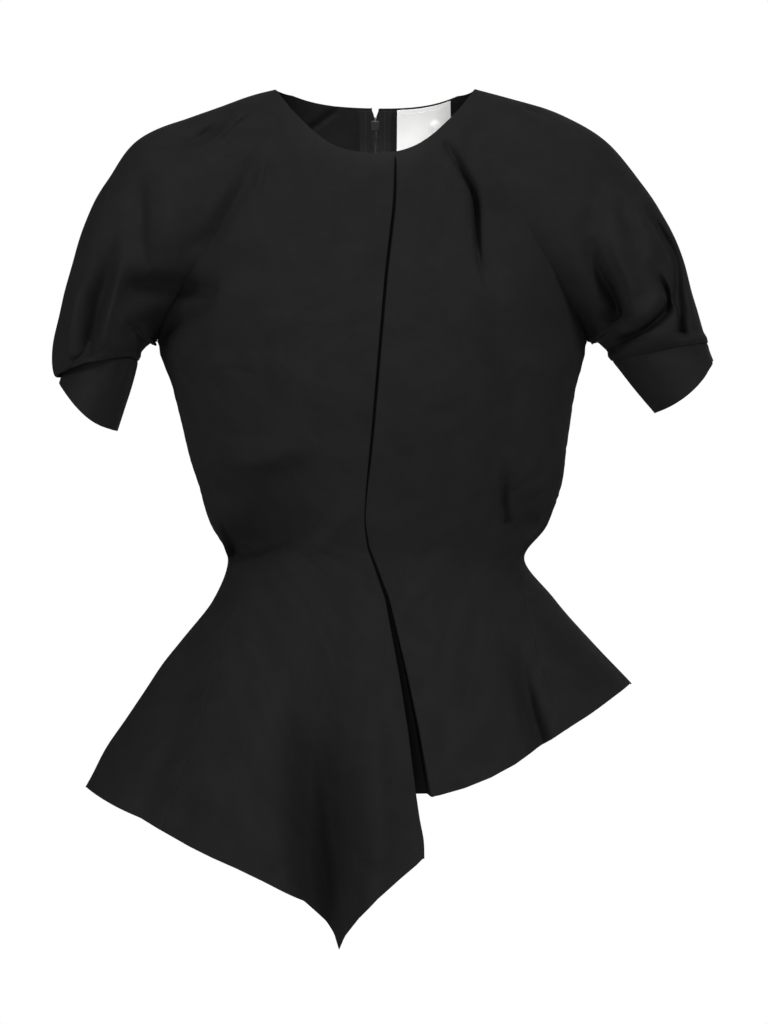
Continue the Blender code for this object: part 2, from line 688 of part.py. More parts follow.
def back_panel(side, seam, peplum_seam, panel):
    """One back: its outer points and their normals, from the side seam to the zip."""
    turns, levels = panel_grid(back_turns(seam, peplum_seam), BACK_SHARES, panel)
    outer = body_point(turns, levels)
    along = outer[:, -3] - outer[:, -1]
    along = along / np.linalg.norm(along, axis=1, keepdims=True)
    middle = outer[:, -1].copy()
    outer[:, -1] = middle + along * zip_half_gap(middle)[:, None]
    outer[:, -2] = middle + along * (TAPE_WIDTH + STITCH_LINE)
    outer[:, 0] = split_seam(outer[:, 0], outer[:, 1], side)
    seam_column, middle_column = 0, -1
    if side < 0:
        outer, turns, levels = outer[:, ::-1], turns[:, ::-1], levels[:, ::-1]
        seam_column, middle_column = -1, 0
    normals = grid_normals(outer)
    edge_normals(normals, seam_column, turns, levels, UNDERARM_ROW)
    edge_normals(normals, middle_column, turns, levels)
    return outer, normals


def sleeve_piece(name, rows, side):
    """A raglan sleeve: a strip between its seams above the underarm and a tube below it."""
    arcs = np.linspace(-1, 1, SLEEVE_ARC_STEPS + 1)
    below = np.linspace(UNDERARM_LEVEL, CUFF_TOP_LEVEL, SLEEVE_ROW_STEPS + 1)[1:]
    levels = np.concatenate([panel_levels()[0][:UNDERARM_ROW + 1], below])
    arc, level = np.meshgrid(arcs, levels)
    outer = sleeve_point(rows, side, arc, level)
    upper = slice(0, UNDERARM_ROW + 1)
    for edge in (0, -1):
        away = outer[upper, 1 if edge == 0 else -2] - outer[upper, edge]
        away[:, 2] *= 0.2
        away = away / np.maximum(np.linalg.norm(away, axis=1, keepdims=True), 1e-9)
        moved = away * SEAM_HALF_GAP
        moved[:, 0] += side * SEAM_HALF_GAP
        outer[upper, edge] += moved
    underarm = slice(UNDERARM_ROW, None)
    middle = (outer[underarm, 0] + outer[underarm, -1]) / 2
    outer[underarm, 0] = middle
    outer[underarm, -1] = middle
    if side < 0:
        outer = outer[:, ::-1]
    return shell(name, outer, CLOTH, linen, closed_from=UNDERARM_ROW)


def cuff_piece(name, rings, side):
    """A fitted cuff: a band from its top ring down, deeper at the underarm, its edge bowed."""
    arcs = np.linspace(-math.pi, math.pi, SLEEVE_ARC_STEPS + 1)
    arc, level = np.meshgrid(arcs, np.linspace(0, len(rings) - 1, CUFF_STEPS + 1))
    ring = table(CUFF_COLUMNS, rings, level)
    middle_x = (ring["outer_x"] + ring["inner_x"]) / 2
    middle_z = (ring["outer_z"] + ring["inner_z"]) / 2
    x = middle_x + (ring["outer_x"] - middle_x) * np.cos(arc)
    z = middle_z + (ring["outer_z"] - middle_z) * np.cos(arc)
    outer = np.stack([side * x, ring["half_depth"] * np.sin(arc), z], axis=-1)
    centre = np.stack([side * middle_x, 0 * x, middle_z], axis=-1)
    outward = outer - centre
    outward = outward / np.linalg.norm(outward, axis=-1, keepdims=True)
    down = np.array(CUFF_DOWN) * (side, 1, 1)
    bow = ring["bow"] * np.sin(arc) ** 2 * (1 - ring["lean"] * np.cos(arc))
    outer += bow[..., None] * down
    outer[0] += down * CUFF_TOP_DROP - outward[0] * CUFF_TOP_INSET
    if side < 0:
        outer = outer[:, ::-1]
    return shell(name, outer, CUFF_CLOTH, linen, closed_from=0)


def on_panel(points, row, column):
    """A place on a panel's grid at fractional rows and columns."""
    i = min(int(row), points.shape[0] - 2)
    j = min(int(column), points.shape[1] - 2)
    down = row - i
    along = column - j
    first = points[i, j] * (1 - along) + points[i, j + 1] * along
    second = points[i + 1, j] * (1 - along) + points[i + 1, j + 1] * along
    return first * (1 - down) + second * down


def laid_inside(name, panel, normals, places, gap, thickness, cloth):
    """A strip lying on the inside of a panel, a little off the panel's own points."""
    inside = panel - (CLOTH + gap) * normals
    outer = [[on_panel(inside, row, column) for column in columns] for row, columns in places]
    return shell(name, np.array(outer), thickness, cloth)


def tape_places(shares):
    """The rows of a zip tape, each with its columns on the panel."""
    rows = [ZIP_START_ROW] + [float(i) for i in range(1, ZIP_END_ROW + 1)]
    return [(row, shares) for row in rows]


def label_places(panel):
    """The rows of the label, each with the panel's columns between its two side edges."""
    places = []
    for row in np.linspace(LABEL_START_ROW, LABEL_END_ROW, LABEL_ROWS):
        columns = np.linspace(0, len(BACK_SHARES) - 1, 101)
        across = np.array([on_panel(panel, row, column)[0] for column in columns])
        ends = np.interp([-LABEL_RIGHT, -LABEL_LEFT], -across, columns)
        places.append((row, np.linspace(ends[0], ends[1], LABEL_COLUMNS)))
    return places


def block(name, low, high, place, surface, collection):
    """A block between two corners, given across, out from the cloth and up along it."""
    mesh = bpy.data.meshes.new(name)
    work = bmesh.new()
    bmesh.ops.create_cube(work, size=1)
    size = [(h - l) * MM for l, h in zip(low, high)]
    middle = [(h + l) / 2 * MM for l, h in zip(low, high)]
    bmesh.ops.scale(work, vec=size, verts=work.verts)
    bmesh.ops.translate(work, vec=middle, verts=work.verts)
    work.to_mesh(mesh)
    work.free()
    made = bpy.data.objects.new(name, mesh)
    made.matrix_world = place
    mesh.materials.append(surface)
    collection.objects.link(made)
    return made


def joined(piece, other, operation):
    """A block joined to a piece or cut out of it, and itself kept out of sight."""
    step = piece.modifiers.new(other.name, "BOOLEAN")
    step.operation = operation
    step.object = other
    other.hide_render = True
    other.display_type = "WIRE"


def softened(piece, width):
    """Small rounded edges."""
    bevel = piece.modifiers.new("edges", "BEVEL")
    bevel.width = width * MM
    bevel.segments = 2
    bevel.limit_method = "ANGLE"


def zip_place():
    """Where the slider sits: across, out from the cloth and up along the zip."""
    level = np.interp(-SLIDER_Z, -BODY_ROWS[:, 8], np.arange(len(BODY_ROWS)))
    seat = body_point(np.array([3.0]), np.array([level]))[0]
    below = body_point(np.array([3.0]), np.array([level + 0.35]))[0]
    up = Vector(seat - below).normalized()
    out = up.cross(Vector((1, 0, 0))).normalized()
    return Matrix.Translation(Vector(seat) * MM) @ Matrix((
        (-1, out.x, up.x, 0), (0, out.y, up.y, 0), (0, out.z, up.z, 0), (0, 0, 0, 1),
    ))


for old in list(bpy.data.objects):
    bpy.data.objects.remove(old, do_unlink=True)

blouse = bpy.data.collections.new("linen_blouse")
bpy.context.scene.collection.children.link(blouse)
cutters = bpy.data.collections.new("cutters")
bpy.context.scene.collection.children.link(cutters)

linen = material("linen", (0.016, 0.015, 0.016), 0.9, 0.0)
tape_cloth = material("zip_tape", (0.02, 0.02, 0.021), 0.85, 0.0)
metal = material("zip_metal", (0.05, 0.05, 0.052), 0.45, 0.6)
label_cloth = material("label", (0.82, 0.82, 0.8), 0.7, 0.0)

EDGE_LEVELS = np.linspace(0, len(BODY_ROWS) - 1, EDGE_SAMPLES)
EDGE_TURN = opening_turn(EDGE_LEVELS, 0)
SLOT_TURN = opening_turn(EDGE_LEVELS, 1)

# Front, wearer's right: from the side seam to the folded edge, then a return behind the fold
turns, levels = panel_grid(evenly(seam_right, folded_edge), front_shares(), "front_right")
outer = body_point(turns[:, :-1], levels[:, :-1])
outer[:, 0] = split_seam(outer[:, 0], outer[:, 1], -1)
strip = folded_strip(turns[:, -1], levels[:, -1], return_profile)
points = np.concatenate([outer, strip], axis=1)
normals = grid_normals(points)
edge_normals(normals, 0, turns, levels, UNDERARM_ROW)
shell("front_right", points, CLOTH, linen, normals=normals)

# Front, wearer's left: an underlay behind the fold, the slot's far side, then out to the seam
turns, levels = panel_grid(evenly(slot_edge, front_seam_left), LEFT_FRONT_SHARES, "front_left")
outer = body_point(turns[:, 1:], levels[:, 1:])
outer[:, -1] = split_seam(outer[:, -1], outer[:, -2], 1)
strip = folded_strip(turns[:, 0], levels[:, 0], underlay_profile)
points = np.concatenate([strip, outer], axis=1)
normals = grid_normals(points)
edge_normals(normals, -1, turns, levels, UNDERARM_ROW)
shell("front_left", points, CLOTH, linen, normals=normals)

# Backs: from the side seams round the flanks to the zip in the middle
back_left, left_normals = back_panel(1, seam_left, SIDE_SEAM_LEFT, "back_left")
shell("back_left", back_left, CLOTH, linen, normals=left_normals)
back_right, right_normals = back_panel(-1, back_seam_right, SIDE_SEAM_RIGHT, "back_right")
shell("back_right", back_right, CLOTH, linen, normals=right_normals)

sleeve_piece("sleeve_right", SLEEVE_RIGHT, -1)
sleeve_piece("sleeve_left", SLEEVE_LEFT, 1)
cuff_piece("cuff_right", CUFF_RIGHT, -1)
cuff_piece("cuff_left", CUFF_LEFT, 1)

# The zip's tapes inside the backs, and the blank label inside the back neck
left_places = tape_places(len(BACK_SHARES) - 1 - TAPE_SHARES[::-1])
right_places = tape_places(TAPE_SHARES)
laid_inside(
    "zip_tape_left", back_left, left_normals, left_places, TAPE_GAP, TAPE_CLOTH, tape_cloth
)
laid_inside(
    "zip_tape_right", back_right, right_normals, right_places, TAPE_GAP, TAPE_CLOTH, tape_cloth
)
laid_inside(
    "neck_label", back_left, left_normals, label_places(back_left), LABEL_GAP, LABEL_CLOTH,
    label_cloth,
)

# The zip's slider and its pull, set in the plane of the back at the top of the zip
place = zip_place()
slider = block(
    "zip_slider", (-PLATE_HALF_WIDTH, PLATE_OUT - PLATE_THICK, PLATE_LOW),
    (PLATE_HALF_WIDTH, PLATE_OUT, PLATE_HIGH), place, metal, blouse,
)
softened(slider, 0.4)
bridge = block(
    "slider_bridge", (-BRIDGE_HALF_WIDTH, PLATE_OUT - PLATE_THICK / 2, -BRIDGE_HALF_HEIGHT),
    (BRIDGE_HALF_WIDTH, BRIDGE_OUT, BRIDGE_HALF_HEIGHT), place, metal, cutters,
)
joined(slider, bridge, "UNION")
eye = block(
    "slider_eye", (-PLATE_HALF_WIDTH, EYE_LOW, -EYE_HALF_HEIGHT),
    (PLATE_HALF_WIDTH, EYE_HIGH, EYE_HALF_HEIGHT), place, metal, cutters,
)
joined(slider, eye, "DIFFERENCE")

hinge = place @ Matrix.Translation(Vector((0, HINGE_OUT * MM, 0)))
pull = block(
    "zip_pull", (-PULL_HALF_WIDTH, -PULL_HALF_THICK, -PULL_LENGTH),
    (PULL_HALF_WIDTH, PULL_HALF_THICK, PULL_HALF_THICK), hinge, metal, blouse,
)
softened(pull, 0.25)
hole = block(
    "pull_hole", (-PULL_HOLE_HALF_WIDTH, -PULL_LENGTH, -PULL_HOLE_LENGTH),
    (PULL_HOLE_HALF_WIDTH, PULL_LENGTH, -PULL_HALF_THICK), hinge, metal, cutters,
)
joined(pull, hole, "DIFFERENCE")
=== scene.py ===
"""Looks of the linen blouse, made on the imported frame.

Each cloth piece is a thin shell on the form of the solid that it replaces, with finer creases, a
seam valley along each sewn edge and a woven linen. The zip gets its tapes, stitches and coil.
Tables are in millimetres, as in the part's source, and become metres in each mesh.
"""

import math

import bpy
import numpy as np
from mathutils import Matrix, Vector


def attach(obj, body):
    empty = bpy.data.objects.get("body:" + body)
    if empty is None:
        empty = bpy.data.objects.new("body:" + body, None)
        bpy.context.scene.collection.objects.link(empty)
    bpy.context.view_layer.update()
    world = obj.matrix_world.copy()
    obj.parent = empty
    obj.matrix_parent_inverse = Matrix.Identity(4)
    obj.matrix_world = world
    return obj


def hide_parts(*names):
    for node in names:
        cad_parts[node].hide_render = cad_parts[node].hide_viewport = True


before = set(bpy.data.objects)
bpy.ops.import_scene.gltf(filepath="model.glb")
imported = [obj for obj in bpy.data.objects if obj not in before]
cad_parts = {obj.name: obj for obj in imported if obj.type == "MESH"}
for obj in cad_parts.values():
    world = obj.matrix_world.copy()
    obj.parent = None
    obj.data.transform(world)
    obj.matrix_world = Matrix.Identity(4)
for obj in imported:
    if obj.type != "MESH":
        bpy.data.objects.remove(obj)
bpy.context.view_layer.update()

MM = 0.001

# Sizes of the cloth, its seams, its unevenness and its threads
CLOTH = 0.8
CUFF_CLOTH = 1.1
TAPE_CLOTH = 0.5
LABEL_CLOTH = 0.35
SEAM_DEPTH = 0.2
RAGLAN_DEPTH = 0.04
SIDE_DEPTH = 0.45
SEAM_WIDTH = 1.0
MEET_WIDTH = 12.0
PUCKER_DEPTH = 0.3
PUCKER_WIDTH = 9.0
PUCKER_LENGTH = 11.0
PUCKER_SWAY = 1.3
PUCKER_DRIFT = 0.31
PUCKER_FADE = 0.13
RIPPLE_WAVES = 16
RIPPLE_DEPTH = 0.42
RIPPLE_SHORTEST = 46
RIPPLE_STEP = 9.5
RIPPLE_MIDDLE = 110
GOLDEN_ANGLE = 2.399963
THREAD_PITCH = 0.55
EDGE_ANGLE = math.radians(55)

# How far the backs give way beside the zip, and how their edges turn in
ZIP_GIVE_WIDTH = 6.0
ZIP_GIVE_COLUMN = -12
TURN_IN_DEPTH = 0.7
TURN_IN_WIDTH = 0.9

# The cuffs' pleats and the line that holds them
PLEAT_DEPTH = 0.9
PLEATS = 9
PLEAT_SWAY = 0.8
PLEAT_WIDTH = 26.0
CUFF_RIPPLE = 0.5
CUFF_HELD_WIDTH = 6.0

# The zip, its stitches and the label
TAPE_WIDTH = 13.0
TAPE_INNER = 1.1
TAPE_DEPTH = 1.55
TAPE_COLUMNS = 9
TAPE_ROWS = 190
ZIP_TOP_LEVEL = 0.05
ZIP_END_LEVEL = 12.9
COIL_TOP_Z = -23.5
COIL_TOP_LEVEL = 0.2
COIL_END_LEVEL = 12.65
COIL_APART = 0.8
COIL_PITCH = 1.3
COIL_RADIUS = 0.27
COIL_WIDE = 1.15
COIL_TALL = 0.62
COIL_DEPTH = 3.1
COIL_STEPS = 10
COIL_SAMPLES = 1200
THREAD_SIDES = 5
STITCH_LENGTH = 2.3
STITCH_GAP = 0.9
STITCH_RADIUS = 0.17
STITCH_LIFT = 0.12
STITCH_PLACES = np.array([0, 0.12, 0.5, 0.88, 1])
STITCH_HEIGHTS = np.array([-1.0, 0.7, 1.0, 0.7, -1.0])
LABEL_STITCH_RADIUS = 0.14
LABEL_STITCH_LIFT = 0.1
TAPE_STITCH_LINE = 8.6
LABEL_LEFT = 20.0
LABEL_RIGHT = 69.0
LABEL_TOP_LEVEL = 0.02
LABEL_END_LEVEL = 1.53
LABEL_DEPTH = 1.9
LABEL_ROWS = 24
LABEL_COLUMNS = 30
LABEL_REACH = 0.98
LABEL_SAMPLES = 90

# How far a strip laid on a back may reach, and a direction that no tube follows
STRIP_REACH = 0.5
STRIP_SAMPLES = 60
TUBE_START = (0.31, 0.17, 0.83)

# Levels of the forms, and the turn of the back's middle
BACK_MIDDLE = 3.0
UNDERARM_LEVEL = 6
UNDERARM_SWITCH = 6.1
WAIST_LEVEL = 11
CUFF_TOP_LEVEL = 12

# Where folds fade out above the cuffs and beside the underarm, and how they fade round the side
FOLDS_END_LEVEL = 11.0
FOLDS_FADE = 1.5
FOLD_EDGE = 0.25
FOLD_FACING = 1.6
CREASE_FACING = 2.4
UNDERARM_X = 196
UNDERARM_Z = -220
UNDERARM_CALM = 12

# Steps for reading normals off the plain forms and off the folded one, and how far the places
# stay off the raglan seams and the neckline
TURN_STEP = 0.01
LEVEL_STEP = 0.02
FOLDED_TURN_STEP = 0.012
FOLDED_LEVEL_STEP = 0.03
SEAM_MARGIN = 0.011
NECK_MARGIN = 0.05

# Steps of the grids
YOKE_STEPS = 84
BODICE_STEPS = 56
PEPLUM_STEPS = 84
FRONT_COLUMNS = 150
BACK_COLUMNS = 100
SLEEVE_COLUMN_COUNT = 270
SLEEVE_ROW_STEPS = 60
CUFF_STEPS = 22
EDGE_SAMPLES = 191
HEM_SAMPLES = 321
OPENING_TURNS = np.linspace(0.5, 1.6, 67)
HAIR = 1e-7
FINE = np.array([0, 0.0018, 0.004, 0.0068, 0.0105, 0.015])
FIRST_PLAIN = 0.022
FLANK_SHARE = 0.3
FLANK_RETREAT = 0.32

# The front's fold and the underlay behind it
UNDERLAY_REACH = 12.0
UNDERLAY_GAP = 0.9
UNDERLAY_LIP = 0.9
UNDERLAY_CORNER = 0.25
FOLD_RADIUS = 1.4
FOLD_RADIUS_SHARE = 0.45

# The reach of the body's curves, where they leave a side straight across and where they leave it
# straight to the front or back
FLAT_HANDLE = 1.1
ROUND_HANDLE = 1.66

# The body, a row for each level from the neckline down, as in the part's source.
BODY_COLUMNS = (
    "right", "left", "seam_y", "side_z", "back_rise",
    "front_y", "front_z", "back_y", "back_z", "front_heading", "back_heading",
)
BODY_ROWS = np.array([
    (75, 75, 37, -13, 18, 72, -55, 58, -6.5, 42, 40),
    (88, 87, 58, -35, 13, 80, -78, 84, -32, 30, 28),
    (101, 99, 75, -58, 8, 89, -104, 101, -60, 20, 18),
    (121, 118, 83, -93, 4, 98, -134, 110, -94, 12, 12),
    (145, 141, 80, -132, 1, 108, -166, 114, -132, 26, 26),
    (172, 167, 56, -175, 0, 116, -199, 115, -176, 55, 55),
    (195, 190, 0, -219, 0, 121, -233, 114, -221, 86, 86),
    (180, 180.5, 0, -262, 0, 124, -267, 110, -263, 90, 90),
    (168, 173, 0, -305, 0, 119, -306, 104, -305, 90, 90),
    (159, 166, 0, -345, 0, 110, -345, 96, -345, 90, 90),
    (149, 153.5, 0, -382, 0, 101, -382, 88, -382, 90, 90),
    (133, 132, 0, -414, 0, 96, -414, 84, -414, 90, 90),
    (146, 161, 0, -450, 0, 104, -450, 95, -450, 84, 84),
    (176, 197.5, 0, -486, 0, 117, -486, 112, -486, 78, 78),
    (201, 229.5, 0, -522, 0, 130, -522, 127, -522, 76, 76),
    (224, 258, 0, -560, 0, 143, -560, 138, -560, 76, 76),
    (248, 286, 0, -600, 0, 154, -600, 147, -600, 76, 76),
    (278, 315, 0, -650, 0, 165, -650, 155, -650, 76, 76),
    (305, 342, 0, -700, 0, 173, -700, 161, -700, 76, 76),
    (335, 370, 0, -764, 0, 180, -764, 167, -764, 76, 76),
], dtype=float)
SIDE_SEAM_RIGHT = np.array([0] * 10 + [0.04, 0.15, 0.31, 0.41, 0.45, 0.47, 0.48, 0.49, 0.49, 0.49])
SIDE_SEAM_LEFT = np.array([0] * 10 + [0.05, 0.19, 0.38, 0.46, 0.50, 0.52, 0.53, 0.54, 0.54, 0.54])

# The sleeves and the cuffs, a row for each ring, as in the part's source.
SLEEVE_COLUMNS = ("outer_x", "outer_z", "inner_x", "inner_z", "half_depth", "half_arc")
SLEEVE_RIGHT = np.array([
    (89.5, 8, 75, -13, 42.7, 60),
    (125, -3.6, 88, -35, 63.5, 66),
    (168, -18, 101, -58, 77.6, 75),
    (213, -39.4, 121, -93, 83, 90),
    (241, -74.5, 145, -132, 84, 108),
    (258, -110, 172, -175, 83, 138),
    (270, -148, 195, -219, 76, 180),
    (279, -181, 199, -221.5, 75, 180),
    (286.5, -213, 202.5, -224, 73, 180),
    (288, -237, 205.5, -227, 68, 180),
    (285, -250, 208, -230, 61, 180),
    (280.5, -239, 210, -233, 56, 180),
    (271, -213, 211.5, -236, 52, 180),
], dtype=float)
SLEEVE_LEFT = np.array([
    (89.5, 7, 75, -13, 42.7, 60),
    (122.6, -3.6, 87, -35, 63.5, 66),
    (165.6, -18, 99, -58, 77.6, 75),
    (208, -41, 118, -93, 83, 90),
    (240, -79.5, 141, -132, 84, 108),
    (260, -113, 167, -175, 83, 138),
    (275, -149, 190, -219, 76, 180),
    (283, -174, 198, -221.5, 76, 180),
    (289, -191, 201, -224, 75, 180),
    (293, -203, 204, -227, 72, 180),
    (295.5, -211, 206.5, -230, 67, 180),
    (297, -216, 209, -233, 61, 180),
    (298, -220, 211.5, -236, 55, 180),
], dtype=float)
CUFF_COLUMNS = ("outer_x", "outer_z", "inner_x", "inner_z", "half_depth", "bow", "lean")
CUFF_RIGHT = np.array([
    (271, -213, 211.5, -236, 52, 0, 0),
    (276, -234, 219, -265, 53, 2.5, 0.35),
    (282, -256, 230, -299, 53, 7, 0.35),
])
CUFF_LEFT = np.array([
    (298, -220, 211.5, -236, 55, 0, 0),
    (299.5, -227, 230, -260, 53.5, 2.5, 0),
    (303, -236, 250.6, -283, 52, 6.5, 0),
])
CUFF_DOWN = (0.45, 0, -0.9)
CUFF_TOP_INSET = 1.0
CUFF_TOP_WIDTH = 2.5

# The front opening, a row for each height. It is sewn shut just below the neckline.
OPENING_COLUMNS = ("height", "edge", "width", "depth")
OPENING = np.array([
    (-40, 18.2, 0.05, 0.3),
    (-57, 17.8, 0.05, 0.3),
    (-63, 17.6, 1.5, 5.0),
    (-84, 16.8, 2.2, 7.0),
    (-105, 15.7, 2.4, 9.0),
    (-165, 8.8, 2.4, 10.0),
    (-300, -2.6, 2.2, 10.0),
    (-326, -5.2, 2.0, 9.0),
    (-354, -7.8, 1.0, 6.0),
    (-374, -8.8, 0.4, 3.0),
    (-385, -8.6, 1.0, 7.0),
    (-402, -6.5, 1.6, 8.0),
    (-448, 9.5, 3.5, 15.0),
    (-515, 21.7, 7.0, 28.0),
    (-560, 29.0, 9.5, 36.0),
    (-617, 36.2, 12.5, 44.0),
    (-622, 37.0, 12.7, 40.0),
    (-636, 39.0, 13.0, 27.0),
    (-652, 42.3, 13.0, 22.0),
    (-660, 42.8, 13.0, 22.0),
    (-700, 43.0, 13.0, 22.0),
])

# The hem as seen from the front (place across, height), and round the back (share, height).
HEM_RIGHT = np.array([
    (-262, -616), (-257, -618), (-230, -629), (-206, -638), (-183, -649), (-161, -660),
    (-139, -670), (-117, -679), (-95, -689), (-73, -700), (-61, -706), (-52, -715),
    (-43, -724), (-36, -735), (-31.7, -748), (-27, -737), (-14, -720), (3, -703),
    (22, -686), (35, -675), (42, -669), (60, -666),
])
HEM_TIP_ROW = 14
HEM_LEFT = np.array([
    (0, -620), (35, -619), (56, -615), (78, -609), (100, -601), (121, -590), (144, -574),
    (166, -561), (189, -548), (213, -533), (229, -524), (240, -520),
])
HEM_BACK_RIGHT = np.array([(0, -618), (0.3, -611), (0.6, -593), (1, -573)])
HEM_BACK_LEFT = np.array([(0, -524), (0.3, -529), (0.6, -551), (1, -573)])

# Half the gap between the backs at the zip (height, half gap). It stands open above the slider.
ZIP_GAP = np.array([(0, 3.4), (-7, 2.9), (-10, 1.5), (-14, 0.5), (-24, 0.3), (-1000, 0.3)])

# The largest folds, as in the part's source. Columns: name, side (-1 front, 1 back), width,
# depth where it starts, depth where it ends (outward is positive), and its route on the front
# view.
FOLDS = (
    ("flap valley", -1, 24, 0, -17, ((-46, -470), (-44, -560), (-37, -700), (-33, -760))),
    ("flap ridge", -1, 17, 0, 9, ((-4, -470), (6, -560), (6, -640), (-6, -720))),
    ("flap side ridge", -1, 30, 0, 7, ((-96, -480), (-112, -600), (-118, -690))),
    ("right under-bust hollow", -1, 26, -11, -5, ((-142, -362), (-112, -366), (-72, -352))),
    ("left under-bust hollow", -1, 18, -8, -5, ((132, -366), (112, -378))),
    ("left waist dart", -1, 11, 0, -5, ((113, -318), (116, -350), (120, -388))),
    ("left peplum fold", -1, 16, 0, -11, ((122, -468), (133, -520), (150, -575))),
    ("left peplum ridge", -1, 20, 0, 6, ((88, -470), (96, -540), (104, -610))),
    ("left neck tuck", -1, 9, -5, -1, ((64, -52), (76, -74), (87, -100), (89, -146))),
    ("right sleeve fold", -1, 12, -1, -10, ((-226, -98), (-238, -168), (-249, -205), (-258, -238))),
    ("right underarm fold", -1, 12, -10, -7, ((-210, -174), (-180, -176), (-150, -174))),
    ("right underarm drag", -1, 10, -7, -4, ((-209, -212), (-180, -203), (-156, -190))),
    ("right shoulder hollow", -1, 13, -6, -4, ((-162, -34), (-134, -40))),
    ("left armpit fold", -1, 11, -3, -13, ((188, -118), (194, -158), (206, -180), (209, -200))),
    ("left sleeve swag", -1, 9, -3, -9, ((247, -156), (265, -182), (246, -205), (216, -224))),
    ("left sleeve outer fold", -1, 9, -2, -8, ((246, -112), (268, -162), (276, -200), (275, -228))),
    ("right sleeve back fold", 1, 13, -2, -9, ((-226, -110), (-240, -170), (-254, -236))),
    ("left sleeve back fold", 1, 12, -2, -9, ((232, -110), (256, -170), (262, -218))),
    ("right underarm back", 1, 12, -8, -4, ((-206, -180), (-160, -184))),
    ("left underarm back", 1, 12, -8, -4, ((203, -182), (158, -188))),
    ("right back flute", 1, 26, 0, -14, ((-74, -455), (-92, -530), (-112, -600))),
    ("left back flute", 1, 26, 0, -14, ((76, -455), (98, -520), (120, -570))),
    ("back middle flute", 1, 22, 0, 6, ((0, -450), (0, -580))),
)

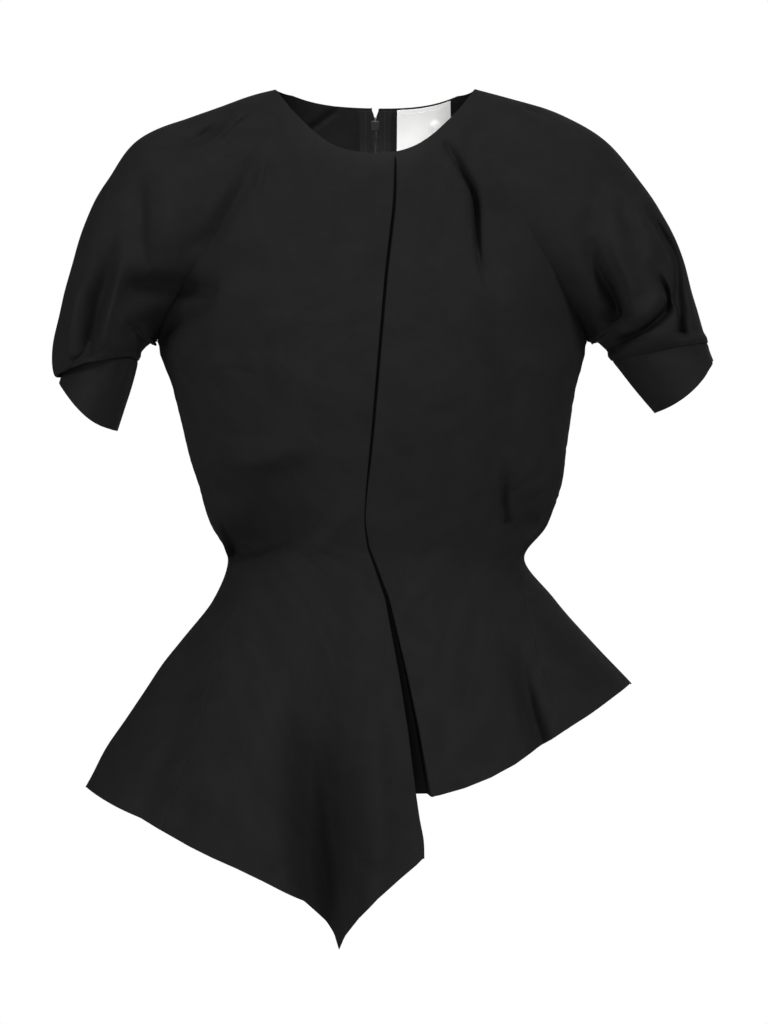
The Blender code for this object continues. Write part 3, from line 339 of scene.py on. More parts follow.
# Creases finer than the solids have. Columns: name, side, the width to the left and to the right
# of the way along the route, the depths at even steps of the route, and the route.
CREASES = (
    ("left neck tuck", -1, 3.4, 2.0, (-2, -7, -13, -14, -11, -5, 0),
     ((63, -46), (76, -70), (87, -93), (89, -120), (91, -148), (97, -178))),
    ("left neck tuck lip", -1, 6, 8, (3, 4, 4, 2, 0),
     ((57, -47), (69, -72), (80, -96), (81, -130))),
    ("left neck tuck shade", -1, 16, 9, (0, -3, -4, -2, 0),
     ((92, -84), (98, -118), (102, -160), (106, -196))),
    ("right neck tuck", -1, 3, 5, (0, 2.4, 2.2, 0), ((-94, -52), (-99, -72), (-103, -98))),
    ("right neck drag", -1, 9, 8, (-1, -5, -8, -7, 0),
     ((-99, -52), (-116, -86), (-132, -113), (-145, -131), (-174, -142))),
    ("right shoulder ridge", -1, 4, 8, (0, 4, 7, 6, 0),
     ((-89, -6), (-113, -16), (-139, -37), (-156, -51))),
    ("right shoulder dip", -1, 8, 6, (0, -7, -11, -7, 0), ((-122, -18), (-144, -30), (-176, -46))),
    ("left shoulder fold", -1, 5, 2.6, (0, -7, -6, 0), ((131, -12), (141, -17), (152, -25))),
    ("left shoulder ridge", -1, 4, 4, (0, 2, 1.5, 0), ((104, -10), (120, -20), (128, -34))),
    ("right sleeve crease", -1, 8, 13, (0, -3, -10, -19, -19, -4),
     ((-227, -100), (-238, -160), (-248, -188), (-253, -216), (-260, -238))),
    ("right sleeve ridge", -1, 6, 5, (0, 5, 8, 6, 0),
     ((-223, -150), (-229, -182), (-236, -208), (-242, -234))),
    ("right sleeve seam hollow", -1, 6, 14, (0, -7, -8, -4), ((-206, -70), (-205, -112), (-203, -154))),
    ("right sleeve swell", -1, 15, 14, (0, 5, 5, 2), ((-180, -84), (-180, -120), (-184, -154))),
    ("right underarm crease", -1, 7, 10, (-2, -8, -12, -10, 0),
     ((-219, -184), (-196, -175), (-166, -174), (-138, -181))),
    ("right underarm line", -1, 5, 6, (0, -4, -5, 0),
     ((-200, -207), (-176, -201), (-140, -186))),
    ("right underarm between", -1, 6, 5, (0, 1, 1, 0), ((-206, -196), (-178, -188), (-152, -184))),
    ("right underarm fan", -1, 5, 6, (0, -3, -2, 0), ((-188, -240), (-166, -234), (-142, -214))),
    ("right sleeve end crease", -1, 4, 3, (0, -3, -3, 0), ((-279, -236), (-262, -240), (-232, -226))),
    ("right sleeve outer ridge", -1, 6, 6, (0, 3, 2.5, 0), ((-262, -170), (-271, -205), (-276, -236))),
    ("left armpit crease", -1, 5.5, 7, (0, -5, -10, -17, -20, -13),
     ((188, -128), (195, -156), (205, -178), (209, -194), (201, -209))),
    ("left armpit lip", -1, 8, 5, (0, 3, 5, 5, 0), ((206, -120), (214, -150), (224, -174), (227, -194))),
    ("left sleeve swag crease", -1, 4.2, 2.8, (-4, -11, -13, -14, -17, -17, -10, 0),
     ((203, -221), (217, -226), (230, -219), (249, -204), (262, -191), (264, -180), (255, -167),
      (246, -158))),
    ("left sleeve swag swell", -1, 9, 9, (0, 6, 7, 6, 0),
     ((218, -206), (236, -198), (249, -184), (247, -170))),
    ("left sleeve swag tail", -1, 8, 7, (0, -6, -8, -6, 0),
     ((214, -92), (222, -116), (232, -140), (240, -152))),
    ("left sleeve outer crease", -1, 4.4, 3.2, (-4, -15, -20, -19, -18, -17, -8),
     ((240, -104), (254, -124), (268, -149), (273, -180), (276, -206), (275, -222), (266, -236))),
    ("left sleeve outer lip", -1, 5, 5, (0, 3, 4, 4, 0),
     ((250, -108), (277, -150), (283, -180), (286, -206))),
    ("left sleeve between", -1, 5, 5, (0, 3.5, 4, 0), ((262, -160), (269, -188), (266, -214))),
    ("left sleeve rim", -1, 3, 2, (0, 3, 0), ((287, -210), (290, -222), (288, -234))),
    ("left sleeve seam hollow", -1, 10, 10, (0, -3, -3, 0), ((202, -66), (196, -98), (192, -126))),
    ("right bust wrinkle", -1, 4, 3, (0, -1.8, 0), ((-152, -250), (-124, -247), (-98, -254))),
    ("right bust arc", -1, 5, 4, (0, -2, -1.4, 0), ((-144, -292), (-122, -306), (-96, -306), (-80, -296))),
    ("right rib wrinkle", -1, 5, 3, (0, -1.6, 0), ((-146, -318), (-112, -322), (-82, -318))),
    ("right rib swell", -1, 18, 12, (3, 10, 9, 0), ((-146, -322), (-112, -326), (-80, -322), (-50, -314))),
    ("right waist hollow", -1, 32, 12, (-16, -42, -44, -22, 0),
     ((-152, -408), (-122, -404), (-96, -398), (-72, -386), (-52, -368))),
    ("right waist crease", -1, 3, 4, (-3, -6, -4, 0), ((-132, -411), (-118, -408), (-96, -405))),
    ("right waist fan", -1, 6, 4, (0, -1.5, 0), ((-124, -424), (-98, -414), (-62, -412))),
    ("right waist rise", -1, 10, 9, (0, 3, 3, 0), ((-64, -408), (-44, -396), (-30, -376), (-22, -350))),
    ("middle bust wrinkle", -1, 6, 5, (0, -1.2, 0), ((30, -238), (44, -262), (62, -276))),
    ("left bust wrinkle", -1, 5, 4, (0, -1.4, 0), ((128, -226), (152, -232), (176, -226))),
    ("left bust shade", -1, 18, 12, (0, -5, -6, -4), ((106, -190), (112, -240), (116, -310))),
    ("left dart line", -1, 5, 2.0, (0, -5, -9, -8), ((114, -322), (116, -352), (120, -382))),
    ("left dart arc", -1, 5, 5, (0, 3.5, 4, 0), ((126, -372), (138, -356), (158, -340))),
    ("left waist hollow", -1, 9, 8, (-8, -20, -9), ((128, -390), (138, -386), (150, -376))),
    ("left waist fan", -1, 5, 4, (0, -1.2, 0), ((130, -418), (104, -414), (80, -416))),
    ("left side shade", -1, 7, 7, (0, -3, 0), ((150, -250), (160, -290), (156, -330))),
    ("flap valley wall", -1, 23, 20, (0, -12, -32, -42, -32),
     ((-54, -480), (-56, -540), (-54, -610), (-48, -680), (-38, -740))),
    ("flap ridge crest", -1, 13, 24, (0, 4, 8, 7, 0),
     ((-8, -500), (-2, -560), (2, -620), (2, -660), (-6, -700))),
    ("flap edge swell", -1, 8, 6, (0, 1.5, 2.5, 2), ((-2, -400), (8, -450), (18, -520), (28, -600))),
    ("flap small fold", -1, 4, 3, (0, -2.6, 0), ((-100, -676), (-86, -681), (-74, -676))),
    ("flap corner drag", -1, 7, 6, (0, -3, 0), ((-20, -650), (-6, -676), (12, -688))),
    ("right peplum wave", -1, 12, 12, (0, -4, -7), ((-146, -480), (-176, -560), (-206, -640))),
    ("right peplum swell", -1, 14, 14, (0, 2, 3), ((-128, -470), (-136, -560), (-150, -650))),
    ("left peplum swell", -1, 13, 13, (0, 3, 4), ((60, -440), (66, -520), (72, -600))),
    ("left peplum crease", -1, 6, 12, (0, -7, -13, -12),
     ((124, -480), (134, -520), (142, -548), (152, -576))),
    ("left peplum front", -1, 12, 10, (0, 2, 2), ((40, -450), (52, -520), (62, -590))),
    ("right back neck tuck", 1, 2.2, 3.5, (6, 7, 5, 2, 0),
     ((-37, -9), (-50, -18), (-62, -27), (-74, -46), (-84, -74))),
    ("left back neck tuck", 1, 3.5, 2.4, (-4, -6, -4, 0), ((54, -20), (64, -40), (74, -66), (80, -100))),
    ("right back yoke drag", 1, 10, 9, (0, -4.5, -4, 0), ((-96, -70), (-122, -110), (-160, -142))),
    ("left back yoke drag", 1, 9, 10, (0, -4, -4.5, 0), ((92, -66), (126, -108), (158, -138))),
    ("right back shoulder dip", 1, 7, 9, (0, -5, 0), ((-120, -22), (-148, -36), (-172, -54))),
    ("left back shoulder dip", 1, 8, 8, (0, -5, 0), ((118, -20), (142, -32), (170, -56))),
    ("right back sleeve crease", 1, 4, 7, (0, -6, -10, -5), ((-232, -120), (-244, -176), (-256, -232))),
    ("left back sleeve crease", 1, 7, 4, (0, -6, -10, -5), ((236, -116), (258, -172), (266, -216))),
    ("left back swag", 1, 3, 5, (0, -6, -7, 0), ((214, -216), (240, -206), (258, -184), (250, -166))),
    ("right back underarm line", 1, 4, 5, (0, -5, -3, 0), ((-210, -206), (-176, -198), (-142, -190))),
    ("left back underarm line", 1, 5, 4, (0, -5, -3, 0), ((206, -210), (172, -198), (138, -192))),
    ("right back rib fold", 1, 7, 5, (0, -4, 0), ((-140, -340), (-100, -352), (-60, -346))),
    ("left back rib fold", 1, 5, 7, (0, -3.5, 0), ((150, -338), (104, -350), (66, -348))),
    ("right back waist fold", 1, 6, 4, (0, -5, 0), ((-130, -398), (-92, -388), (-52, -392))),
    ("left back waist fold", 1, 4, 6, (0, -4.5, 0), ((128, -396), (96, -386), (50, -390))),
    ("back waist drag", 1, 5, 5, (0, -2.4, 0), ((-36, -372), (0, -366), (34, -374))),
    ("right back outer flute", 1, 16, 16, (0, 4, 5), ((-120, -470), (-152, -540), (-186, -610))),
    ("left back outer flute", 1, 16, 16, (0, 4, 5), ((124, -470), (160, -510), (196, -540))),
)


def hermite(share):
    """The weights of a smooth curve: its start, its slope there, its end and its slope there."""
    square = share * share
    cube = square * share
    start = 2 * cube - 3 * square + 1
    return start, cube - 2 * square + share, 3 * square - 2 * cube, cube - square


def unit(vectors):
    """The vectors at a length of 1."""
    return vectors / np.maximum(np.linalg.norm(vectors, axis=-1, keepdims=True), 1e-9)


def bell(distance, width):
    """1 at a distance of 0, falling off smoothly over a width."""
    return np.exp(-((distance / width) ** 2))


def lengths_along(line):
    """How far along a line each of its points lies."""
    steps = np.linalg.norm(np.diff(line, axis=0), axis=1)
    return np.concatenate([[0], np.cumsum(steps)])


def along_line(places, along, line):
    """The points at places along a line."""
    return np.stack([np.interp(places, along, line[:, k]) for k in range(3)], axis=-1)


def smooth(values, at):
    """The values at fractional rows, on a smooth curve through every row."""
    last = len(values) - 1
    at = np.clip(at, 0, last)
    low = np.minimum(np.floor(at).astype(int), last - 1)
    part = at - low
    before = values[np.maximum(low - 1, 0)]
    here = values[low]
    there = values[low + 1]
    after = values[np.minimum(low + 2, last)]
    if values.ndim > 1:
        part = part[..., None]
    columns = (1,) * (values.ndim - 1)
    leave = (there - before) * np.where(low > 0, 0.5, 1.0).reshape(low.shape + columns)
    reach = (after - here) * np.where(low + 2 <= last, 0.5, 1.0).reshape(low.shape + columns)
    start, leaving, end, arriving = hermite(part)
    return start * here + leaving * leave + end * there + arriving * reach


def table(columns, rows, at):
    """Every named column of a table at fractional rows."""
    values = smooth(rows, np.asarray(at, dtype=float))
    return {name: values[..., i] for i, name in enumerate(columns)}


def body_base(turn, level):
    """A point of the plain body form. A turn of 0 is the wearer's right flank or raglan seam,
    1 the front middle, 2 the left flank, 3 the back middle, 4 the right flank again."""
    turn, level = np.broadcast_arrays(np.asarray(turn, float), np.asarray(level, float))
    row = table(BODY_COLUMNS, BODY_ROWS, level)
    quarter = np.floor(turn).astype(int) % 4
    share = turn - np.floor(turn)
    share = np.where((quarter == 1) | (quarter == 3), 1 - share, share)
    front = quarter < 2
    at_right = (quarter == 0) | (quarter == 3)
    wide = np.where(at_right, row["right"], row["left"])
    seam_y = np.maximum(row["seam_y"], 0)
    seam_y = np.where(level >= UNDERARM_LEVEL, 0, seam_y)
    middle_y = np.where(front, row["front_y"], row["back_y"])
    middle_z = np.where(front, row["front_z"], row["back_z"])
    side_z = row["side_z"] + np.where(front, 0, np.maximum(row["back_rise"], 0))
    heading = np.radians(np.where(front, row["front_heading"], row["back_heading"]))
    across = np.cos(heading)
    along = np.sin(heading)
    leave = FLAT_HANDLE * wide * across + ROUND_HANDLE * (middle_y - seam_y) * along
    arrive = wide * (FLAT_HANDLE + (ROUND_HANDLE - FLAT_HANDLE) * along)
    start, leaving, end, arriving = hermite(share)
    x = -wide * start + leave * across * leaving + arrive * arriving
    y = -(seam_y * start + leave * along * leaving + middle_y * end)
    z = side_z + (middle_z - side_z) * (1 - (1 - share) ** 2)
    return np.stack([np.where(at_right, x, -x), np.where(front, y, -y), z], axis=-1)


def sleeve_base(rows, side, arc, level):
    """A point of the plain sleeve form. An arc of 0 is its outer ridge, -1 its front seam or the
    underarm, 1 its back seam or the underarm; the side is -1 for the wearer's right."""
    arc, level = np.broadcast_arrays(np.asarray(arc, float), np.asarray(level, float))
    row = table(SLEEVE_COLUMNS, rows, level)
    half_arc = np.radians(np.where(level >= UNDERARM_LEVEL, 180, np.minimum(row["half_arc"], 180)))
    body = table(BODY_COLUMNS, BODY_ROWS, level)
    above = level < UNDERARM_LEVEL
    inner_x = np.where(above, body["right" if side < 0 else "left"], row["inner_x"])
    inner_z = np.where(above, body["side_z"], row["inner_z"])
    out_x = row["outer_x"] - inner_x
    out_z = row["outer_z"] - inner_z
    scale = (np.cos(arc * half_arc) - np.cos(half_arc)) / (1 - np.cos(half_arc))
    seam_y = np.where(above, np.maximum(body["seam_y"], 0), 0)
    swell = row["half_depth"] * np.sin(half_arc)
    depth = row["half_depth"] * np.sin(arc * half_arc) + (seam_y - swell) * arc * np.abs(arc) ** 3
    rise = np.where(above, np.maximum(body["back_rise"], 0), 0)
    rise = rise * np.clip(arc, 0, 1) ** 2
    x = inner_x + out_x * scale
    z = inner_z + out_z * scale + rise
    return np.stack([side * x, depth, z], axis=-1)


def cuff_base(rings, side, arc, level):
    """A point of a cuff: a band from its top ring down, deeper at the underarm, its edge bowed."""
    ring = table(CUFF_COLUMNS, rings, level)
    middle_x = (ring["outer_x"] + ring["inner_x"]) / 2
    middle_z = (ring["outer_z"] + ring["inner_z"]) / 2
    x = middle_x + (ring["outer_x"] - middle_x) * np.cos(arc)
    z = middle_z + (ring["outer_z"] - middle_z) * np.cos(arc)
    points = np.stack([side * x, ring["half_depth"] * np.sin(arc), z], axis=-1)
    down = np.array(CUFF_DOWN) * (side, 1, 1)
    bow = ring["bow"] * np.sin(arc) ** 2 * (1 - ring["lean"] * np.cos(arc))
    return points + bow[..., None] * down


def route_place(x, z, route):
    """For places on the front view: the distance to a route, which side of the way along it they
    lie on (1 left, -1 right) and the share along it."""
    best = np.full(x.shape, np.inf)
    share = np.zeros(x.shape)
    side = np.ones(x.shape)
    points = np.array(route, dtype=float)
    steps = np.linalg.norm(np.diff(points, axis=0), axis=1)
    starts = np.concatenate([[0], np.cumsum(steps)])
    for i in range(len(steps)):
        ax, az = points[i]
        dx, dz = points[i + 1] - points[i]
        along = np.clip(((x - ax) * dx + (z - az) * dz) / steps[i] ** 2, 0, 1)
        off_x = x - ax - along * dx
        off_z = z - az - along * dz
        away = np.hypot(off_x, off_z)
        nearer = away < best
        best = np.where(nearer, away, best)
        share = np.where(nearer, (starts[i] + along * steps[i]) / starts[-1], share)
        side = np.where(nearer, np.where(dx * off_z - dz * off_x > 0, 1, -1), side)
    return best, side, share


def rounded(route, steps=6):
    """A route with its corners rounded."""
    points = np.array(route, dtype=float)
    return smooth(points, np.linspace(0, len(points) - 1, steps * (len(points) - 1) + 1))


ROUNDED_CREASES = [(*crease[:5], rounded(crease[5])) for crease in CREASES]


def ripple(points):
    """The slight unevenness of worn linen: long shallow waves that run every way."""
    height = np.zeros(points.shape[:-1])
    for i in range(RIPPLE_WAVES):
        turn = GOLDEN_ANGLE * i
        rise = 1 - 2 * (i + 0.5) / RIPPLE_WAVES
        flat = math.sqrt(1 - rise * rise)
        way = np.array([flat * math.cos(turn), flat * math.sin(turn), rise])
        length = RIPPLE_SHORTEST + RIPPLE_STEP * ((i * 7) % RIPPLE_WAVES)
        wave = np.sin(points @ way * (2 * math.pi / length) + 1.7 * i)
        height += RIPPLE_DEPTH * (length / RIPPLE_MIDDLE) * wave
    return height


def fold_moves(points, normals):
    """How each point moves: folds and unevenness push it along its normal, creases along Y."""
    x, z = points[..., 0], points[..., 2]
    height = ripple(points)
    for _, side, width, start, end, route in FOLDS:
        away, _, share = route_place(x, z, route)
        facing = np.clip(FOLD_EDGE + FOLD_FACING * side * normals[..., 1], 0, 1)
        height += facing * (start + (end - start) * share) * bell(away, width)
    moves = height[..., None] * normals
    from_underarm = np.hypot(np.abs(x) - UNDERARM_X, z - UNDERARM_Z)
    calm = 1 - bell(from_underarm, UNDERARM_CALM)
    for _, side, left, right, depths, route in ROUNDED_CREASES:
        away, hand, share = route_place(x, z, route)
        facing = calm * np.clip(CREASE_FACING * side * normals[..., 1], 0, 1)
        depth = smooth(np.array(depths, dtype=float), share * (len(depths) - 1))
        width = np.where(hand > 0, left, right)
        moves[..., 1] += side * facing * depth * bell(away, width)
    return moves


def surface_normals(place, first, second, step_first, step_second):
    """Outward normals of a surface given as a function of two parameters."""
    along = place(first + step_first, second) - place(first - step_first, second)
    down = place(first, second + step_second) - place(first, second - step_second)
    return unit(np.cross(down, along))


def off_seam(turn, level, margin):
    """The turn, kept off the raglan seams above the underarm, where front and back part."""
    turn = np.asarray(turn, float)
    half = np.where(np.mod(turn, 4) < 2, 0.0, 2.0) + 4 * np.floor(turn / 4)
    kept = np.clip(turn, half + margin, half + 2 - margin)
    return np.where(np.asarray(level) < UNDERARM_SWITCH, kept, turn)


def body_point(turn, level):
    """A point of the body with its folds."""
    turn, level = np.broadcast_arrays(np.asarray(turn, float), np.asarray(level, float))
    level = np.clip(level, 0, len(BODY_ROWS) - 1)
    inside = np.clip(level, LEVEL_STEP, len(BODY_ROWS) - 1 - LEVEL_STEP)
    base = body_base(turn, level)
    near = off_seam(turn, inside, SEAM_MARGIN)
    normals = surface_normals(body_base, near, inside, TURN_STEP, LEVEL_STEP)
    return base + fold_moves(base, normals)


def sleeve_point(rows, side, arc, level):
    """A point of a sleeve with its folds."""
    def plain(a, b):
        return sleeve_base(rows, side, a, b)

    last = len(rows) - 1
    base = plain(arc, level)
    inside = np.clip(level, LEVEL_STEP, last - LEVEL_STEP)
    near = np.clip(arc, TURN_STEP - 1, 1 - TURN_STEP)
    normals = surface_normals(plain, near, inside, TURN_STEP, LEVEL_STEP) * side
    fade = np.clip((FOLDS_END_LEVEL - level) / FOLDS_FADE, 0, 1)
    fade = fade * fade * (3 - 2 * fade)
    return base + fold_moves(base, normals) * fade[..., None]


def grid_normals(points, closed_from=None):
    """Outward normals at a grid's points, the mean of the faces round each point."""
    across = points[:, 1:] - points[:, :-1]
    down = points[1:] - points[:-1]
    faces = unit(np.cross(down[:, :-1] + down[:, 1:], across[:-1] + across[1:]))
    normals = np.zeros(points.shape)
    normals[:-1, :-1] += faces
    normals[:-1, 1:] += faces
    normals[1:, :-1] += faces
    normals[1:, 1:] += faces
    if closed_from is not None:
        both = normals[closed_from:, 0] + normals[closed_from:, -1]
        normals[closed_from:, 0] = both
        normals[closed_from:, -1] = both
    return unit(normals)


def opening_value(column, z):
    """A column of the front opening's table at each height."""
    return np.interp(-z, -OPENING[:, 0], OPENING[:, OPENING_COLUMNS.index(column)])


def opening_turn(level, extra):
    """The turn at which the front's folded edge lies at each level, or its slot's far side."""
    found = np.empty(level.shape)
    for i, row in np.ndenumerate(level):
        points = body_base(OPENING_TURNS, np.full(OPENING_TURNS.shape, row))
        edge = opening_value("edge", points[:, 2])
        width = opening_value("width", points[:, 2])
        found[i] = np.interp(0, points[:, 0] - edge - extra * width, OPENING_TURNS)
    return found


EDGE_LEVELS = np.linspace(0, len(BODY_ROWS) - 1, EDGE_SAMPLES)
EDGE_TURN = opening_turn(EDGE_LEVELS, 0)
SLOT_TURN = opening_turn(EDGE_LEVELS, 1)


def hem_level(turn_at, share, panel):
    """The level at which a panel's column meets the hem."""
    levels = np.linspace(WAIST_LEVEL + 1, len(BODY_ROWS) - 1, HEM_SAMPLES)
    turns = turn_at(levels, share)
    points = body_base(turns, levels)
    quarter = np.mod(turns, 4)
    right = np.interp(points[..., 0], HEM_RIGHT[:, 0], HEM_RIGHT[:, 1])
    left = np.interp(points[..., 0], HEM_LEFT[:, 0], HEM_LEFT[:, 1])
    if panel == "front_right":
        hem = right
    elif panel == "front_left":
        hem = left
    elif panel == "back_right":
        behind = np.interp(4 - quarter, HEM_BACK_RIGHT[:, 0], HEM_BACK_RIGHT[:, 1])
        hem = np.where(quarter < 2, right, behind)
    else:
        behind = np.interp(quarter - 2, HEM_BACK_LEFT[:, 0], HEM_BACK_LEFT[:, 1])
        hem = np.where(quarter < 2, left, behind)
    below = points[:, 2] - hem
    first = int(np.argmax(below < 0))
    gap = below[first - 1] - below[first]
    return levels[first - 1] + (levels[first] - levels[first - 1]) * below[first - 1] / gap


def panel_grid(turn_at, shares, panel):
    """The turns and levels of a panel's points; a function gives the turn of each column."""
    yoke = np.linspace(0, UNDERARM_LEVEL, YOKE_STEPS + 1)
    bodice = np.linspace(UNDERARM_LEVEL, WAIST_LEVEL, BODICE_STEPS + 1)[1:]
    upper = np.concatenate([yoke, bodice])
    lower = np.linspace(0, 1, PEPLUM_STEPS + 1)[1:]
    turns = []
    levels = []
    for share in shares:
        hem = hem_level(turn_at, share, panel)
        column = np.concatenate([upper, WAIST_LEVEL + (hem - WAIST_LEVEL) * lower])
        levels.append(column)
        turns.append(turn_at(column, share))
    return np.stack(turns, axis=1), np.stack(levels, axis=1)


def evenly(start, end):
    """Columns at their own shares of the way between two edges given as functions of level."""
    def turn_at(level, share):
        first = start(level)
        return first + (end(level) - first) * share

    return turn_at


def seam_share(shares, level):
    """How far in front of the flank a side seam runs at each level, as a share of the quarter."""
    return np.maximum(smooth(shares, np.asarray(level, float)), 0)


def seam_right(level):
    return seam_share(SIDE_SEAM_RIGHT, level)


def seam_left(level):
    return 2 - seam_share(SIDE_SEAM_LEFT, level)


def front_seam_left(level):
    return np.minimum(seam_left(level), 2 - HAIR)


def folded_edge(level):
    return np.interp(level, EDGE_LEVELS, EDGE_TURN)


def slot_edge(level):
    return np.interp(level, EDGE_LEVELS, SLOT_TURN)


def back_seam_right(level):
    turn = 4.0 + seam_right(level)
    return np.where(np.asarray(level) < UNDERARM_SWITCH, 4.0 - HAIR, turn)


def folded_strip(turn, level, profile_of):
    """The points of a strip folded behind the opening, a row for each level."""
    edge = body_point(turn, level)
    across = body_base(turn + TURN_STEP, level) - body_base(turn - TURN_STEP, level)
    across[..., 2] = 0
    across = unit(across)
    inward = np.stack([-across[..., 1], across[..., 0], np.zeros(turn.shape)], axis=-1)
    z = body_base(turn, level)[:, 2]
    width = opening_value("width", z)
    depth = opening_value("depth", z)
    rows = []
    for i in range(len(edge)):
        corners = profile_of(width[i], depth[i])
        rows.append([edge[i] + c[0] * across[i] + c[1] * inward[i] for c in corners])
    return np.array(rows)


def rounded_corner(radius, steps=5):
    """A quarter turn from flat cloth to cloth that runs straight in."""
    angles = np.linspace(0, math.pi / 2, steps)
    return [(-radius + radius * math.sin(a), radius - radius * math.cos(a)) for a in angles]


def fold_wall(depth):
    """The radius of a fold over a slot of this depth, and a place half way down its wall."""
    radius = min(FOLD_RADIUS, FOLD_RADIUS_SHARE * depth)
    return radius, 0.6 * depth + 0.2 * radius


def return_profile(width, depth):
    """Across and into the cloth: round the folded edge and back behind it."""
    radius, half_way = fold_wall(depth)
    return np.array([*rounded_corner(radius), (0.0, half_way), (0.0, depth)])


def underlay_profile(width, depth):
    """Down the slot's far side and under the fold, listed from the hidden edge outward."""
    floor = depth + UNDERLAY_GAP
    radius, half_way = fold_wall(depth)
    corner = [(-x, y) for x, y in rounded_corner(radius)[::-1]]
    return np.array([
        (-UNDERLAY_REACH - width, floor), (-0.5 * UNDERLAY_REACH, floor), (-UNDERLAY_LIP, floor),
        (-UNDERLAY_CORNER, floor - UNDERLAY_CORNER), (0.0, floor - UNDERLAY_LIP),
        (0.0, half_way), *corner,
    ])


def spaced(count, first_sewn, last_sewn):
    """Shares from 0 to 1 for a panel's columns, closer together beside an edge that is sewn."""
    near = FINE if first_sewn else np.array([])
    far = 1 - FINE[::-1] if last_sewn else np.array([])
    return np.concatenate([near, np.linspace(FIRST_PLAIN, 1 - FIRST_PLAIN, count), far])


def share_at_tip():
    """The share of the front's columns that ends in the long point of the hem."""
    tip_x, tip_z = HEM_RIGHT[HEM_TIP_ROW]
    level = np.interp(-tip_z, -BODY_ROWS[:, 3], np.arange(len(BODY_ROWS)))
    turns = np.linspace(0, 1.5, 301)
    across = body_base(turns, np.full(turns.shape, level))[:, 0]
    turn = np.interp(tip_x, across, turns)
    return float((turn - seam_right(level)) / (folded_edge(level) - seam_right(level)))


def back_turns(seam, peplum_seam):
    """The place of a back's columns: a column follows the flank where the seam runs in front."""
    def turn_at(level, share):
        first = seam(level)
        front = seam_share(peplum_seam, level)
        flank = np.maximum(front / (1 + front), FLANK_SHARE - FLANK_RETREAT * front)
        near = share * flank / FLANK_SHARE
        far = flank + (share - FLANK_SHARE) * (1 - flank) / (1 - FLANK_SHARE)
        return first + (BACK_MIDDLE - first) * (near if share < FLANK_SHARE else far)

    return turn_at


def front_right_points():
    """The wearer's right front, from the side seam to the fold, and the return behind it."""
    shares = spaced(FRONT_COLUMNS, True, False)
    tip = share_at_tip()
    shares[int(np.argmin(np.abs(shares - tip)))] = tip
    place = evenly(seam_right, folded_edge)
    turns, levels = panel_grid(place, np.append(shares, 1.0), "front_right")
    outer = body_point(turns[:, :-1], levels[:, :-1])
    strip = folded_strip(turns[:, -1], levels[:, -1], return_profile)
    return np.concatenate([outer, strip], axis=1)


def front_left_points():
    """The wearer's left front: the underlay, the slot's far side, then out to the side seam."""
    shares = spaced(FRONT_COLUMNS, False, True)
    place = evenly(slot_edge, front_seam_left)
    turns, levels = panel_grid(place, np.insert(shares, 0, 0), "front_left")
    outer = body_point(turns[:, 1:], levels[:, 1:])
    strip = folded_strip(turns[:, 0], levels[:, 0], underlay_profile)
    return np.concatenate([strip, outer], axis=1)


def back_points(side, seam, peplum_seam, panel):
    """One back, from the side seam round the flank to the zip in the middle."""
    shares = spaced(BACK_COLUMNS, True, True)
    turns, levels = panel_grid(back_turns(seam, peplum_seam), shares, panel)
    points = body_point(turns, levels)
    middle = points[:, -1].copy()
    gap = np.interp(-middle[:, 2], -ZIP_GAP[:, 0], ZIP_GAP[:, 1])
    spread = edge_distance(points[:, ::-1])[:, ::-1]
    outward = unit(points[:, ZIP_GIVE_COLUMN] - middle)
    points += outward[:, None] * (gap[:, None] * bell(spread, ZIP_GIVE_WIDTH))[..., None]
    points -= grid_normals(points) * (TURN_IN_DEPTH * bell(spread, TURN_IN_WIDTH))[..., None]
    return points if side > 0 else points[:, ::-1].copy()


def sleeve_points(rows, side):
    """A raglan sleeve: a strip between its seams above the underarm and a tube below it."""
    arcs = 2 * spaced(SLEEVE_COLUMN_COUNT, True, True) - 1
    above = np.linspace(0, UNDERARM_LEVEL, YOKE_STEPS + 1)
    below = np.linspace(UNDERARM_LEVEL, CUFF_TOP_LEVEL, SLEEVE_ROW_STEPS + 1)[1:]
    arc, level = np.meshgrid(arcs, np.concatenate([above, below]))
    points = sleeve_point(rows, side, arc, level)
    return points if side > 0 else points[:, ::-1].copy()


def cuff_points(rings, side):
    """A cuff with its top edge let in under the sleeve, and pleats that fade below it."""
    arcs = math.pi * np.linspace(-1, 1, SLEEVE_COLUMN_COUNT + 1)
    levels = np.linspace(0, len(rings) - 1, CUFF_STEPS + 1)
    arc, level = np.meshgrid(arcs, levels)

    def plain(a, b):
        return cuff_base(rings, side, a, b)

    points = plain(arc, level)
    inside = np.clip(level, LEVEL_STEP, len(rings) - 1 - LEVEL_STEP)
    normals = surface_normals(plain, arc, inside, TURN_STEP, LEVEL_STEP) * side
    strip = np.linalg.norm(points - points[0], axis=-1)
    held = 1 - bell(strip, CUFF_HELD_WIDTH)
    pleats = PLEAT_DEPTH * np.sin(PLEATS * arc + PLEAT_SWAY * np.sin(2 * arc + side))
    height = (CUFF_RIPPLE * ripple(points) + pleats * bell(strip, PLEAT_WIDTH)) * held
    height -= CUFF_TOP_INSET * bell(strip, CUFF_TOP_WIDTH)
    points = points + height[..., None] * normals
    return points if side > 0 else points[:, ::-1].copy()


def edge_distance(points):
    """How far along its row each point lies from the first column."""
    steps = np.linalg.norm(np.diff(points, axis=1), axis=-1)
    return np.concatenate([np.zeros((len(points), 1)), np.cumsum(steps, axis=1)], axis=1)


